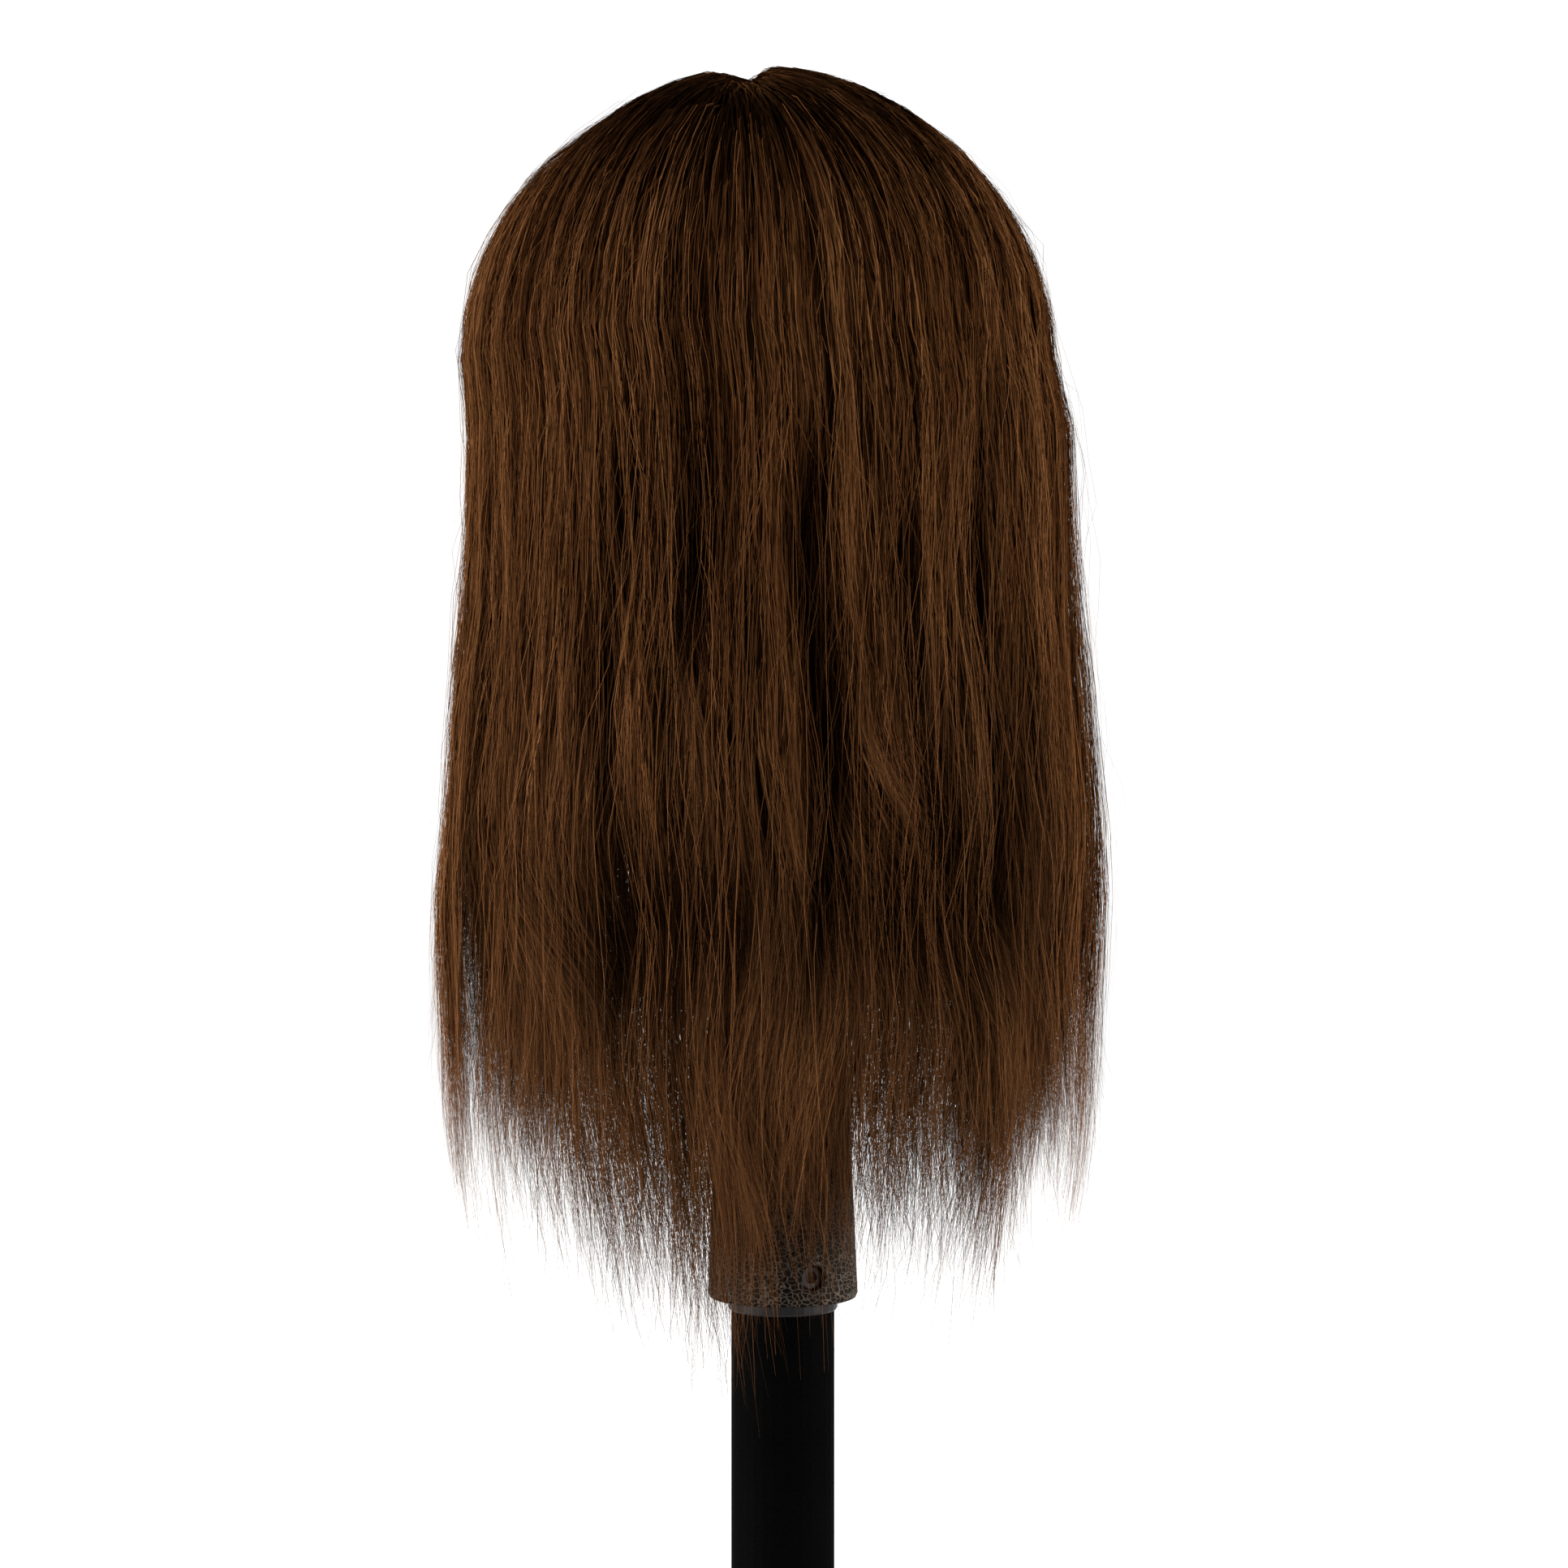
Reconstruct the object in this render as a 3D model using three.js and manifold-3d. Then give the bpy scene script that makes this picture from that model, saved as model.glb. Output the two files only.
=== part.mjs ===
// A hairdressing training head on its holder: a vinyl head with rooted long hair, which
// pulls off a tapered holder cone, and a cone that swivels on the top of a round post.
// Millimetres, +Z up. The origin is the centre of the post's foot. The face looks along -Y,
// so +X is the head's own left.
import * as THREE from "three";
import { mergeVertices } from "three/addons/utils/BufferGeometryUtils.js";
import Module from "manifold-3d";

const wasm = await Module();
wasm.setup();

// ---------------------------------------------------------------- driving dimensions

const GAP = 0.3; // clearance between pieces that touch
const SEGMENTS = 32; // round a turned piece

const POST = { radius: 17.5, wall: 2, top: 216 };
const FOOT_PLUG = { flange: 3, spigot: 20, wall: 2.5 };
const TOP_PLUG = { flange: 3, spigot: 22 };

const CONE = { rimZ: 130, rimRadius: 25.4, taper: 0.045, top: 300, wall: 2.4, rimFillet: 1.6 };
const SHELF = { z: 221.5, thickness: 3.5, bore: 8 }; // the web in the cone that carries the load
const BUSH = { running: 0.3, lowerHeight: 20, lip: 4, lipRadius: 18.5, upperZ: 196, upperHeight: 14 };
const LOCK = { height: 9.6, aroundDeg: 114.6, radius: 4, tip: 2.2, length: 4.6, clearance: 0.3 };
const GROOVE = { depth: 0.8, halfWidth: 3.2 }; // in the post, for the lock screw's tip

const HEAD = { baseZ: 234, height: 300, domeFrom: 216, domePower: 2.2, skin: 4 };
const FACE_BACKING = 9; // extra skin behind the face, so that the eye sockets stay closed
const SOCKET = { wall: 2.3, top: 78, floor: 3, flangeRadius: 31, flange: 2.5 };
const PLATE = { thickness: 3 };
const BASE_SCREW = { count: 3, circle: 26, radius: 1.6, head: 3.6, headHeight: 1.8, length: 16 };

const HAIR = {
  topZ: 545,
  widestZ: 446,
  domePower: 1.9,
  offsetX: 5,
  partX: 15,
  hairlineZ: 497,
  thickness: 13,
  rootGap: 1.5,
};
const FACE_EDGE = { left: -44, right: 224 }; // where the side hair ends beside the face, degrees

// The head in level sections, from the neck's base upwards. Each row is the height above the
// base, then how far the section reaches to the face, to the back and to each side.
const HEAD_LEVELS = [
  [0, 52, 62, 62],
  [10, 49, 59, 59],
  [28, 46, 54, 52.5],
  [48, 46.5, 52, 50],
  [64, 50, 53, 50],
  [71, 64, 54, 50],
  [77, 82, 55, 50],
  [87, 90, 57, 51],
  [101, 90, 60, 56],
  [119, 92, 66, 61.5],
  [139, 93, 78, 67],
  [166, 94, 90, 72],
  [189, 96, 94, 75],
  [203, 100, 95, 76.5],
  [216, 100, 95, 77],
];

// The face's soft relief: distance from the middle, height above the base, spread across,
// spread up and how far it stands out. Each is on both sides of the face.
const FACE_RELIEF = {
  brow: [27, 203, 15, 6, 2.5],
  socket: [30, 189, 13, 8.5, -8.5],
  innerCorner: [14, 190, 5, 8, -5],
  cheekbone: [45, 164, 14, 12, 3.5],
  cheekHollow: [42, 130, 12, 12, -2],
  nostrilWing: [11.5, 145, 4.2, 4.6, 6.5],
  philtrum: [0, 130, 3, 5, -1],
  mouthCorner: [26, 119, 4, 4, -2],
  chinFold: [0, 103, 18, 4.5, -4],
  chin: [0, 89, 15, 8, 5],
  temple: [66, 205, 12, 16, -2],
};
const NOSE = { top: 200, tip: 150, base: 138, rise: 19, bridge: 3, width: 8.5 };
const EYE = { x: 31, height: 188.5, radius: 13.5, stand: 9, lidWidth: 14.5, lidRise: 4.6 };
const MOUTH = { height: 119, halfWidth: 25, upper: 123.8, lower: 113.4, upperOut: 5, lowerOut: 6 };

// The hanging hair in level sections below its widest level: height, then the reach of its
// outer surface to the face, to the back and to each side.
const HAIR_LEVELS = [
  [100, 66, 72, 70],
  [150, 76, 82, 92],
  [184, 84, 90, 106],
  [212, 90, 96, 112],
  [240, 95, 101, 116],
  [267, 98, 104, 116.5],
  [322, 101, 108, 109],
  [377, 104, 112, 104],
  [446, 106, 114, 102.5],
];

// Where the hair ends: the angle from the head's left and the height of the tips there.
const TIP_LEVELS = [
  [-44, 190],
  [0, 177],
  [22, 166],
  [45, 140],
  [68, 118],
  [90, 106],
  [112, 140],
  [130, 136],
  [145, 152],
  [180, 170],
  [224, 190],
];
const LOCKS = { everyDeg: 7.5, depth: 1.6, panelRows: 9 }; // the grooves between locks of hair

const MATERIALS = {
  tube: ["#0b0b0c", 0.55, 0.0],
  wrinkle: ["#17110e", 0.6, 0.0],
  gloss: ["#0d0d0e", 0.2, 0.0],
  steel: ["#3a3a3c", 0.35, 0.9],
  skin: ["#d9a583", 0.45, 0.0],
  foam: ["#cbb98a", 0.9, 0.0],
  lash: ["#1a0f0a", 0.7, 0.0],
  hair: ["#3c2415", 0.5, 0.0],
};

// ---------------------------------------------------------------- shared helpers

const radians = THREE.MathUtils.degToRad;
const lerp = THREE.MathUtils.lerp;

function material(name) {
  const [color, roughness, metalness] = MATERIALS[name];
  return new THREE.MeshStandardMaterial({ color, roughness, metalness });
}

function piece(name, finish, geometry) {
  const mesh = new THREE.Mesh(geometry, material(finish));
  mesh.name = name;
  return mesh;
}

// A piece turned about Z from [radius, height] corners that run anticlockwise.
function turned(corners, segments = SEGMENTS) {
  const profile = corners.map(([r, z]) => new THREE.Vector2(r, z));
  return new THREE.LatheGeometry(profile, segments).rotateX(Math.PI / 2);
}

function closed(corners) {
  return [...corners, corners[0]];
}

function toSolid(geometry) {
  const bare = geometry.clone();
  bare.deleteAttribute("normal");
  bare.deleteAttribute("uv");
  const merged = mergeVertices(bare, 1e-4);
  const triVerts = new Uint32Array(merged.index.array);
  const vertProperties = merged.attributes.position.array;
  return new wasm.Manifold(new wasm.Mesh({ numProp: 3, vertProperties, triVerts }));
}

function toGeometry(solid) {
  const mesh = solid.getMesh();
  const geometry = new THREE.BufferGeometry();
  geometry.setAttribute("position", new THREE.BufferAttribute(mesh.vertProperties, 3));
  geometry.setIndex(new THREE.BufferAttribute(mesh.triVerts, 1));
  geometry.computeVertexNormals();
  return geometry;
}

function cut(geometry, ...tools) {
  const solid = tools.reduce((left, tool) => left.subtract(toSolid(tool)), toSolid(geometry));
  return toGeometry(solid);
}

function join(geometry, ...others) {
  const solid = others.reduce((sum, other) => sum.add(toSolid(other)), toSolid(geometry));
  return toGeometry(solid);
}

// A cylinder along Z between two heights.
function rod(radius, z0, z1, segments = 16) {
  const geometry = new THREE.CylinderGeometry(radius, radius, z1 - z0, segments);
  return geometry.rotateX(Math.PI / 2).translate(0, 0, (z0 + z1) / 2);
}

// Triangles between rings of points, which run anticlockwise seen from above, from the top
// ring down. A ring of one point closes an end.
function loft(rings, stripCaps = false) {
  const positions = rings.flat().flatMap((p) => [p.x, p.y, p.z]);
  const starts = [];
  rings.reduce((sum, ring) => (starts.push(sum), sum + ring.length), 0);
  const index = [];
  for (let r = 0; r + 1 < rings.length; r++) {
    const [upper, lower] = [rings[r].length, rings[r + 1].length];
    const count = Math.max(upper, lower);
    for (let i = 0; i < count; i++) {
      const a = starts[r] + (i % upper);
      const b = starts[r + 1] + (i % lower);
      const c = starts[r] + ((i + 1) % upper);
      const d = starts[r + 1] + ((i + 1) % lower);
      if (upper > 1) index.push(a, b, c);
      if (lower > 1) index.push(c, b, d);
    }
  }
  if (stripCaps) capWithStrips(index, starts[0], rings[0].length, starts.at(-1));
  const geometry = new THREE.BufferGeometry();
  geometry.setAttribute("position", new THREE.Float32BufferAttribute(positions, 3));
  geometry.setIndex(index);
  geometry.computeVertexNormals();
  return geometry;
}

// Closes both ends of a lofted slab, whose rings run out along one face and back along the other.
function capWithStrips(index, top, size, bottom) {
  for (let k = 0; k + 1 < size / 2; k++) {
    const quad = [k, k + 1, size - 2 - k, size - 1 - k];
    const [a, b, c, d] = quad.map((i) => top + i);
    const [e, f, g, h] = quad.map((i) => bottom + i);
    index.push(a, b, c, a, c, d, e, g, f, e, h, g);
  }
}

// A smooth curve through rows of [height, value, value...]: column k at that height.
function levelCurve(rows, k) {
  const slope = (i) => {
    const [a, b] = [rows[Math.max(i - 1, 0)], rows[Math.min(i + 1, rows.length - 1)]];
    return (b[k] - a[k]) / (b[0] - a[0]);
  };
  return (height) => {
    const inside = Math.min(Math.max(height, rows[0][0]), rows.at(-1)[0]);
    const i = Math.max(0, rows.findIndex((row) => row[0] >= inside) - 1);
    const step = rows[i + 1][0] - rows[i][0];
    const t = (inside - rows[i][0]) / step;
    const start = rows[i][k] * (1 + 2 * t) * (1 - t) ** 2 + slope(i) * step * t * (1 - t) ** 2;
    const end = rows[i + 1][k] * t * t * (3 - 2 * t) + slope(i + 1) * step * t * t * (t - 1);
    return start + end;
  };
}

// How much a rounded dome has closed in at a share of its height.
function domeShare(share, power) {
  return (1 - Math.min(share, 1) ** power) ** (1 / power);
}

// ---------------------------------------------------------------- the post

function postTube() {
  const { radius, wall, top } = POST;
  const bottom = FOOT_PLUG.flange + GAP;
  const groove = CONE.rimZ + LOCK.height;
  return turned(
    closed([
      [radius, bottom],
      [radius, groove - GROOVE.halfWidth],
      [radius - GROOVE.depth, groove - GROOVE.halfWidth + GROOVE.depth],
      [radius - GROOVE.depth, groove + GROOVE.halfWidth - GROOVE.depth],
      [radius, groove + GROOVE.halfWidth],
      [radius, top],
      [radius - wall, top],
      [radius - wall, bottom],
    ]),
  );
}

// A moulded plug whose flange closes the tube's end, with a hollow spigot inside the tube.
function footPlug() {
  const { flange, spigot, wall } = FOOT_PLUG;
  const inner = POST.radius - POST.wall - GAP;
  return turned([
    [0, 0],
    [POST.radius - 0.8, 0],
    [POST.radius, 0.8],
    [POST.radius, flange],
    [inner, flange],
    [inner, flange + spigot],
    [inner - wall, flange + spigot],
    [inner - wall, flange],
    [0, flange],
  ]);
}

function topPlug() {
  const inner = POST.radius - POST.wall - GAP;
  const flange = POST.top + GAP;
  return turned([
    [0, POST.top - TOP_PLUG.spigot],
    [inner, POST.top - TOP_PLUG.spigot],
    [inner, flange],
    [POST.radius - 0.8, flange],
    [POST.radius - 0.8, flange + TOP_PLUG.flange - 0.8],
    [POST.radius - 1.6, flange + TOP_PLUG.flange],
    [0, flange + TOP_PLUG.flange],
  ]);
}

// ---------------------------------------------------------------- the holder cone

function coneRadius(z) {
  return CONE.rimRadius - CONE.taper * (z - CONE.rimZ);
}

// The lock screw's axis runs out from the post, level, towards the back.
function alongLock(geometry) {
  const height = CONE.rimZ + LOCK.height;
  return geometry
    .rotateY(Math.PI / 2)
    .rotateZ(radians(LOCK.aroundDeg))
    .translate(0, 0, height);
}

function holderCone() {
  const { rimZ, top, wall, rimFillet } = CONE;
  const inner = (z) => coneRadius(z) - wall;
  const shelfTop = SHELF.z + SHELF.thickness;
  const body = turned(
    closed([
      [inner(rimZ) + 0.6, rimZ],
      [coneRadius(rimZ) - rimFillet, rimZ],
      [coneRadius(rimZ) - 0.3 * rimFillet, rimZ + 0.3 * rimFillet],
      [coneRadius(rimZ), rimZ + rimFillet],
      [coneRadius(top), top],
      [inner(top), top],
      [inner(shelfTop), shelfTop],
      [SHELF.bore, shelfTop],
      [SHELF.bore, SHELF.z],
      [inner(SHELF.z), SHELF.z],
    ]),
  );
  const hole = rod(LOCK.radius + LOCK.clearance, POST.radius, CONE.rimRadius + 2, 20);
  return cut(body, alongLock(hole));
}

function coneCap() {
  const { top, wall } = CONE;
  const spigot = coneRadius(top) - wall - GAP;
  return turned([
    [0, top - 8],
    [spigot - 0.4, top - 8],
    [spigot, top + GAP],
    [coneRadius(top), top + GAP],
    [coneRadius(top) - 0.4, top + 2],
    [coneRadius(top) - 3, top + 4],
    [0, top + 4.6],
  ]);
}

// The glossy bush in the cone's mouth, with a lip that shows below the rim.
function lowerBush() {
  const bore = POST.radius + BUSH.running;
  const { rimZ, wall } = CONE;
  const outer = (z) => coneRadius(z) - wall - GAP;
  const body = turned(
    closed([
      [bore, rimZ - BUSH.lip],
      [BUSH.lipRadius - 0.4, rimZ - BUSH.lip],
      [BUSH.lipRadius, rimZ - BUSH.lip + 0.6],
      [BUSH.lipRadius, rimZ],
      [outer(rimZ), rimZ],
      [outer(rimZ + BUSH.lowerHeight), rimZ + BUSH.lowerHeight],
      [bore, rimZ + BUSH.lowerHeight],
    ]),
  );
  const thread = rod(LOCK.radius + LOCK.clearance, POST.radius - 2, CONE.rimRadius, 20);
  return cut(body, alongLock(thread));
}

function upperBush() {
  const bore = POST.radius + BUSH.running;
  const outer = (z) => coneRadius(z) - CONE.wall - GAP;
  const [z0, z1] = [BUSH.upperZ, BUSH.upperZ + BUSH.upperHeight];
  return turned(
    closed([
      [bore, z0],
      [outer(z0), z0],
      [outer(z1), z1],
      [bore, z1],
    ]),
  );
}

function thrustWasher() {
  const top = SHELF.z - GAP;
  const bottom = POST.top + GAP + TOP_PLUG.flange + GAP;
  return turned(
    closed([
      [SHELF.bore, bottom],
      [POST.radius - 2, bottom],
      [POST.radius - 2, top],
      [SHELF.bore, top],
    ]),
  );
}

// A grub screw with a dog point in the post's groove and a hexagon socket in its outer end.
function lockScrew() {
  const tipFrom = POST.radius - GROOVE.depth + GAP;
  const bodyFrom = POST.radius + 0.6;
  const end = bodyFrom + LOCK.length;
  const body = turned(
    [
      [0, tipFrom],
      [LOCK.tip, tipFrom],
      [LOCK.tip, bodyFrom - 0.2],
      [LOCK.radius - 0.4, bodyFrom],
      [LOCK.radius, bodyFrom + 0.5],
      [LOCK.radius, end - 0.4],
      [LOCK.radius - 0.4, end],
      [0, end],
    ],
    20,
  );
  return alongLock(cut(body, rod(2.3, end - 2.4, end + 1, 6)));
}

// ---------------------------------------------------------------- the head

const headFront = levelCurve(HEAD_LEVELS, 1);
const headBack = levelCurve(HEAD_LEVELS, 2);
const headSide = levelCurve(HEAD_LEVELS, 3);

function bell(value, centre, spread) {
  return Math.exp(-0.5 * ((value - centre) / spread) ** 2);
}

// How far the nose stands out: a ridge that rises and widens from the bridge to the tip.
function noseRelief(x, height) {
  const { top, tip, base, rise, bridge, width } = NOSE;
  const down = THREE.MathUtils.clamp((top - height) / (top - tip), 0, 1);
  const ridge = lerp(bridge, rise, down ** 1.2) * bell(x, 0, lerp(5, width, down));
  const under = THREE.MathUtils.smoothstep(height, base, base + 10);
  const over = 1 - THREE.MathUtils.smoothstep(height, top - 8, top + 12);
  return ridge * under * over;
}

// The closed lips: two rolls with a line between them.
function lipRelief(x, height) {
  const { height: line, halfWidth, upper, lower, upperOut, lowerOut } = MOUTH;
  const along = Math.sqrt(Math.max(0, 1 - (x / halfWidth) ** 2));
  const rolls = upperOut * bell(height, upper, 3.4) + lowerOut * bell(height, lower, 4);
  return along * (rolls - 3 * bell(height, line, 1.6));
}

// The lids over the ball of the eye, as the part of a ball that stands out of its socket.
function eyeRelief(x, height) {
  const { x: centre, height: middle, radius, stand } = EYE;
  const square = radius ** 2 - (Math.abs(x) - centre) ** 2 - (height - middle) ** 2;
  return Math.max(0, Math.sqrt(Math.max(0, square)) - radius + stand);
}

function faceRelief(x, height) {
  const bells = Object.values(FACE_RELIEF).map(
    ([across, up, spreadX, spreadZ, out]) =>
      out * bell(Math.abs(x), across, spreadX) * bell(height, up, spreadZ),
  );
  const soft = bells.reduce((sum, value) => sum + value, 0);
  return soft + noseRelief(x, height) + lipRelief(x, height) + eyeRelief(x, height);
}

// The skin is thicker behind the face, between the chin and the hairline.
function faceBacking(height) {
  const { smoothstep } = THREE.MathUtils;
  return FACE_BACKING * smoothstep(height, 66, 96) * (1 - smoothstep(height, 205, 240));
}

// A point of the head's surface, moved inwards by depth. The angle runs anticlockwise from +X.
function headPoint(angle, height, depth = 0, relief = false) {
  const { domeFrom, domePower } = HEAD;
  const dome = HEAD.height - domeFrom;
  const level = Math.min(height, domeFrom);
  const share = Math.max(0, height - domeFrom) / dome;
  const close = domeShare(share, domePower);
  const backing = depth > 0 ? faceBacking(height) : 0;
  const reach = Math.sin(angle) < 0 ? headFront(level) - backing : headBack(level);
  const inset = (value) => Math.max(0, value - depth) * close;
  const x = Math.cos(angle) * inset(headSide(level));
  const facing = Math.max(0, -Math.sin(angle)) ** 0.6;
  const out = relief && facing > 0 ? facing * faceRelief(x, height) : 0;
  const z = height <= domeFrom ? height : domeFrom + share * (dome - depth);
  return new THREE.Vector3(x, Math.sin(angle) * inset(reach) - out, z);
}

function headRing(height, depth, count = SEGMENTS) {
  const angles = Array.from({ length: count }, (_, i) => (i / count) * 2 * Math.PI);
  return angles.map((angle) => headPoint(angle, height, depth));
}

// A ring of the outer skin, with its points closest together over the face.
function faceRing(height, count = 44) {
  const crowding = 0.72;
  const turns = Array.from({ length: count }, (_, i) => (i / count) * 2 * Math.PI - Math.PI);
  return turns.map((turn) =>
    headPoint(turn - crowding * Math.sin(turn) - Math.PI / 2, height, 0, true),
  );
}

const DOME_LEVELS = [298, 290, 276, 258, 238];
const TRUNK_LEVELS = [216, 203, 180, 150, 119, 101, 87, 77, 71, 64, 46, 28, 10];
const FACE_ROWS = { from: 80, to: 208, count: 31 };

// A flattened ball for a rounded feature that is joined to the skin.
function ball(size, place, tiltDeg = 0) {
  return new THREE.SphereGeometry(1, 12, 8)
    .scale(...size)
    .rotateX(radians(tiltDeg))
    .translate(...place);
}

function headSkin() {
  const { from, to, count } = FACE_ROWS;
  const face = Array.from({ length: count }, (_, i) => lerp(to, from, i / (count - 1)));
  const dome = [298, 291, 281, 268, 252, 236, 221];
  const neck = [76, 72, 68, 62, 50, 36, 22, 10, 0];
  const rings = [...dome, ...face, ...neck].map((height) => faceRing(height));
  const outer = loft([[headPoint(0, HEAD.height)], ...rings, [new THREE.Vector3(0, 0, 0)]]);
  const inner = [...DOME_LEVELS, ...TRUNK_LEVELS, 0, -2];
  const cavity = loft([
    [headPoint(0, HEAD.height, HEAD.skin)],
    ...inner.map((height) => headRing(height, HEAD.skin)),
    [new THREE.Vector3(0, 0, -2)],
  ]);
  const ears = [-1, 1].map((side) => ball([9, 15, 31], [side * 74, 10, 170], 12));
  return cut(join(outer, ...ears), cavity);
}

function socketRadius(height) {
  return coneRadius(HEAD.baseZ + height) + GAP;
}

function screwPlaces() {
  const count = BASE_SCREW.count;
  return Array.from({ length: count }, (_, i) => {
    const angle = Math.PI / 2 + (i / count) * 2 * Math.PI;
    return [BASE_SCREW.circle * Math.cos(angle), BASE_SCREW.circle * Math.sin(angle)];
  });
}

function screwHoles(z0, z1) {
  return screwPlaces().map(([x, y]) =>
    rod(BASE_SCREW.radius + GAP, z0, z1, 12).translate(x, y, 0),
  );
}

// The space that the socket and its screws need in the foam and in the base plate.
function socketSpace(from, to, extra) {
  const outer = (height) => socketRadius(height) + SOCKET.wall + extra;
  return turned([
    [0, from],
    [outer(from), from],
    [outer(to), to],
    [0, to],
  ]);
}

function foamCore() {
  const base = PLATE.thickness + GAP;
  const depth = HEAD.skin + 2 * GAP;
  const levels = [...DOME_LEVELS, ...TRUNK_LEVELS, base];
  const rings = levels.map((height) => headRing(height, depth));
  const top = [headPoint(0, HEAD.height, depth)];
  const bottom = [new THREE.Vector3(0, 0, base)];
  const space = socketSpace(base - 1, SOCKET.top + GAP, GAP);
  return cut(loft([top, ...rings, bottom]), space, ...screwHoles(base - 1, BASE_SCREW.length));
}

function basePlate() {
  const depth = HEAD.skin + 2 * GAP;
  const rings = [headRing(PLATE.thickness, depth), headRing(0, depth)];
  const top = [new THREE.Vector3(0, 0, PLATE.thickness)];
  const bottom = [new THREE.Vector3(0, 0, 0)];
  const space = socketSpace(-1, PLATE.thickness + 1, GAP);
  return cut(loft([top, ...rings, bottom]), space, ...screwHoles(-1, PLATE.thickness + 1));
}

// The tapered socket that grips the cone, with a flange under the base plate.
function neckSocket() {
  const { wall, top, floor, flangeRadius, flange } = SOCKET;
  const bottom = -GAP - flange;
  const body = turned([
    [0, top - floor],
    [socketRadius(top - floor), top - floor],
    [socketRadius(bottom), bottom],
    [flangeRadius - 0.6, bottom],
    [flangeRadius, bottom + 0.6],
    [flangeRadius, -GAP],
    [socketRadius(-GAP) + wall, -GAP],
    [socketRadius(top) + wall, top],
    [0, top],
  ]);
  return cut(body, ...screwHoles(bottom - 1, 0));
}

function baseScrew() {
  const { radius, head, headHeight, length } = BASE_SCREW;
  const seat = -GAP - SOCKET.flange - GAP;
  return turned(
    [
      [0, seat - headHeight],
      [head - 1, seat - headHeight],
      [head, seat - 0.5],
      [head, seat],
      [radius, seat],
      [radius, length - 4],
      [0, length - 1],
    ],
    12,
  );
}

// A strip of lashes that follows the upper lid: a thin curved fan in front of the eye.
function eyelash(side) {
  const steps = 8;
  const arcs = Array.from({ length: steps + 1 }, (_, i) => lerp(-0.95, 0.95, i / steps));
  const skinY = (x, height) => {
    const across = Math.sqrt(Math.max(0, 1 - (x / headSide(height)) ** 2));
    return -headFront(height) * across - across ** 0.6 * faceRelief(x, height);
  };
  const place = (turn, reach, lift) => {
    const x = side * EYE.x + EYE.lidWidth * Math.sin(turn);
    const height = EYE.height + EYE.lidRise * Math.cos(turn);
    const fan = 1 + 0.03 * reach;
    return new THREE.Vector3(
      side * EYE.x + (x - side * EYE.x) * fan,
      skinY(x, height) - 1.3 - reach,
      height + lift,
    );
  };
  const ring = (lift) => [
    ...arcs.map((turn) => place(turn, 0, lift)),
    ...arcs.toReversed().map((turn) => place(turn, 7, lift + 2.2)),
  ];
  return loft([ring(0.5).reverse(), ring(0).reverse()], true);
}

// ---------------------------------------------------------------- the hair

const hairFront = levelCurve(HAIR_LEVELS, 1);
const hairBack = levelCurve(HAIR_LEVELS, 2);
const hairSide = levelCurve(HAIR_LEVELS, 3);
const tipHeight = levelCurve(TIP_LEVELS, 1);

// A point of the hanging hair, which lies between an outer surface and one a thickness inside.
function hangingPoint(angle, z, inwards) {
  const reach = Math.sin(angle) < 0 ? hairFront(z) : hairBack(z);
  return new THREE.Vector3(
    HAIR.offsetX + Math.cos(angle) * (hairSide(z) - inwards),
    Math.sin(angle) * (reach - inwards),
    z,
  );
}

function slabRing(from, to, steps, outerPoint, innerPoint) {
  const angles = Array.from({ length: steps + 1 }, (_, i) => lerp(from, to, i / steps));
  return [...angles.map(outerPoint), ...angles.toReversed().map(innerPoint)];
}

// A panel of hanging hair between two angles. It thins towards its tips, which end at
// different heights, and shallow grooves part it into locks.
function hangingPanel(from, to) {
  const { panelRows, everyDeg, depth } = LOCKS;
  const steps = 2 * Math.round((to - from) / everyDeg);
  const top = HAIR.widestZ - GAP;
  const rings = Array.from({ length: panelRows + 1 }, (_, row) => {
    const down = row / panelRows;
    const level = (deg) => lerp(top, tipHeight(deg), down);
    const groove = (deg) => {
      const lock = Math.cos((2 * Math.PI * (deg - from) * steps) / (2 * (to - from)));
      return depth * (0.5 + 0.5 * lock) * Math.min(1, 3 * down);
    };
    return slabRing(
      from,
      to,
      steps,
      (deg) => hangingPoint(radians(deg), level(deg), groove(deg)),
      (deg) => hangingPoint(radians(deg), level(deg), lerp(HAIR.thickness, 5, down)),
    );
  });
  return loft(rings, true);
}

// The whole shape of the hair on top of the head, solid, in level rings.
function hairDome() {
  const { topZ, widestZ, domePower, offsetX, partX } = HAIR;
  const rises = [82, 70, 57, 43, 29, 14, 0].map(radians);
  const rings = rises.map((rise) => {
    const share = Math.sin(rise);
    const close = domeShare(share, domePower);
    const angles = Array.from({ length: 40 }, (_, i) => (i / 40) * 2 * Math.PI);
    return angles.map((angle) => {
      const reach = Math.sin(angle) < 0 ? hairFront(widestZ) : hairBack(widestZ);
      return new THREE.Vector3(
        lerp(offsetX, partX * 0.6, share) + Math.cos(angle) * hairSide(widestZ) * close,
        Math.sin(angle) * reach * close,
        lerp(widestZ, topZ, share),
      );
    });
  });
  const top = [new THREE.Vector3(partX * 0.6, 0, topZ)];
  const bottom = [new THREE.Vector3(offsetX, 0, widestZ)];
  return loft([top, ...rings, bottom]);
}

// The head with its ears, grown by a clearance: the hair is cut back from it.
function headRoom(clearance) {
  const levels = [...DOME_LEVELS, ...TRUNK_LEVELS];
  const rings = levels.map((height) => headRing(height, -clearance));
  const top = [headPoint(0, HEAD.height, -clearance)];
  const bottom = [new THREE.Vector3(0, 0, TRUNK_LEVELS.at(-1))];
  return loft([top, ...rings, bottom]).translate(0, 0, HEAD.baseZ);
}

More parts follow.
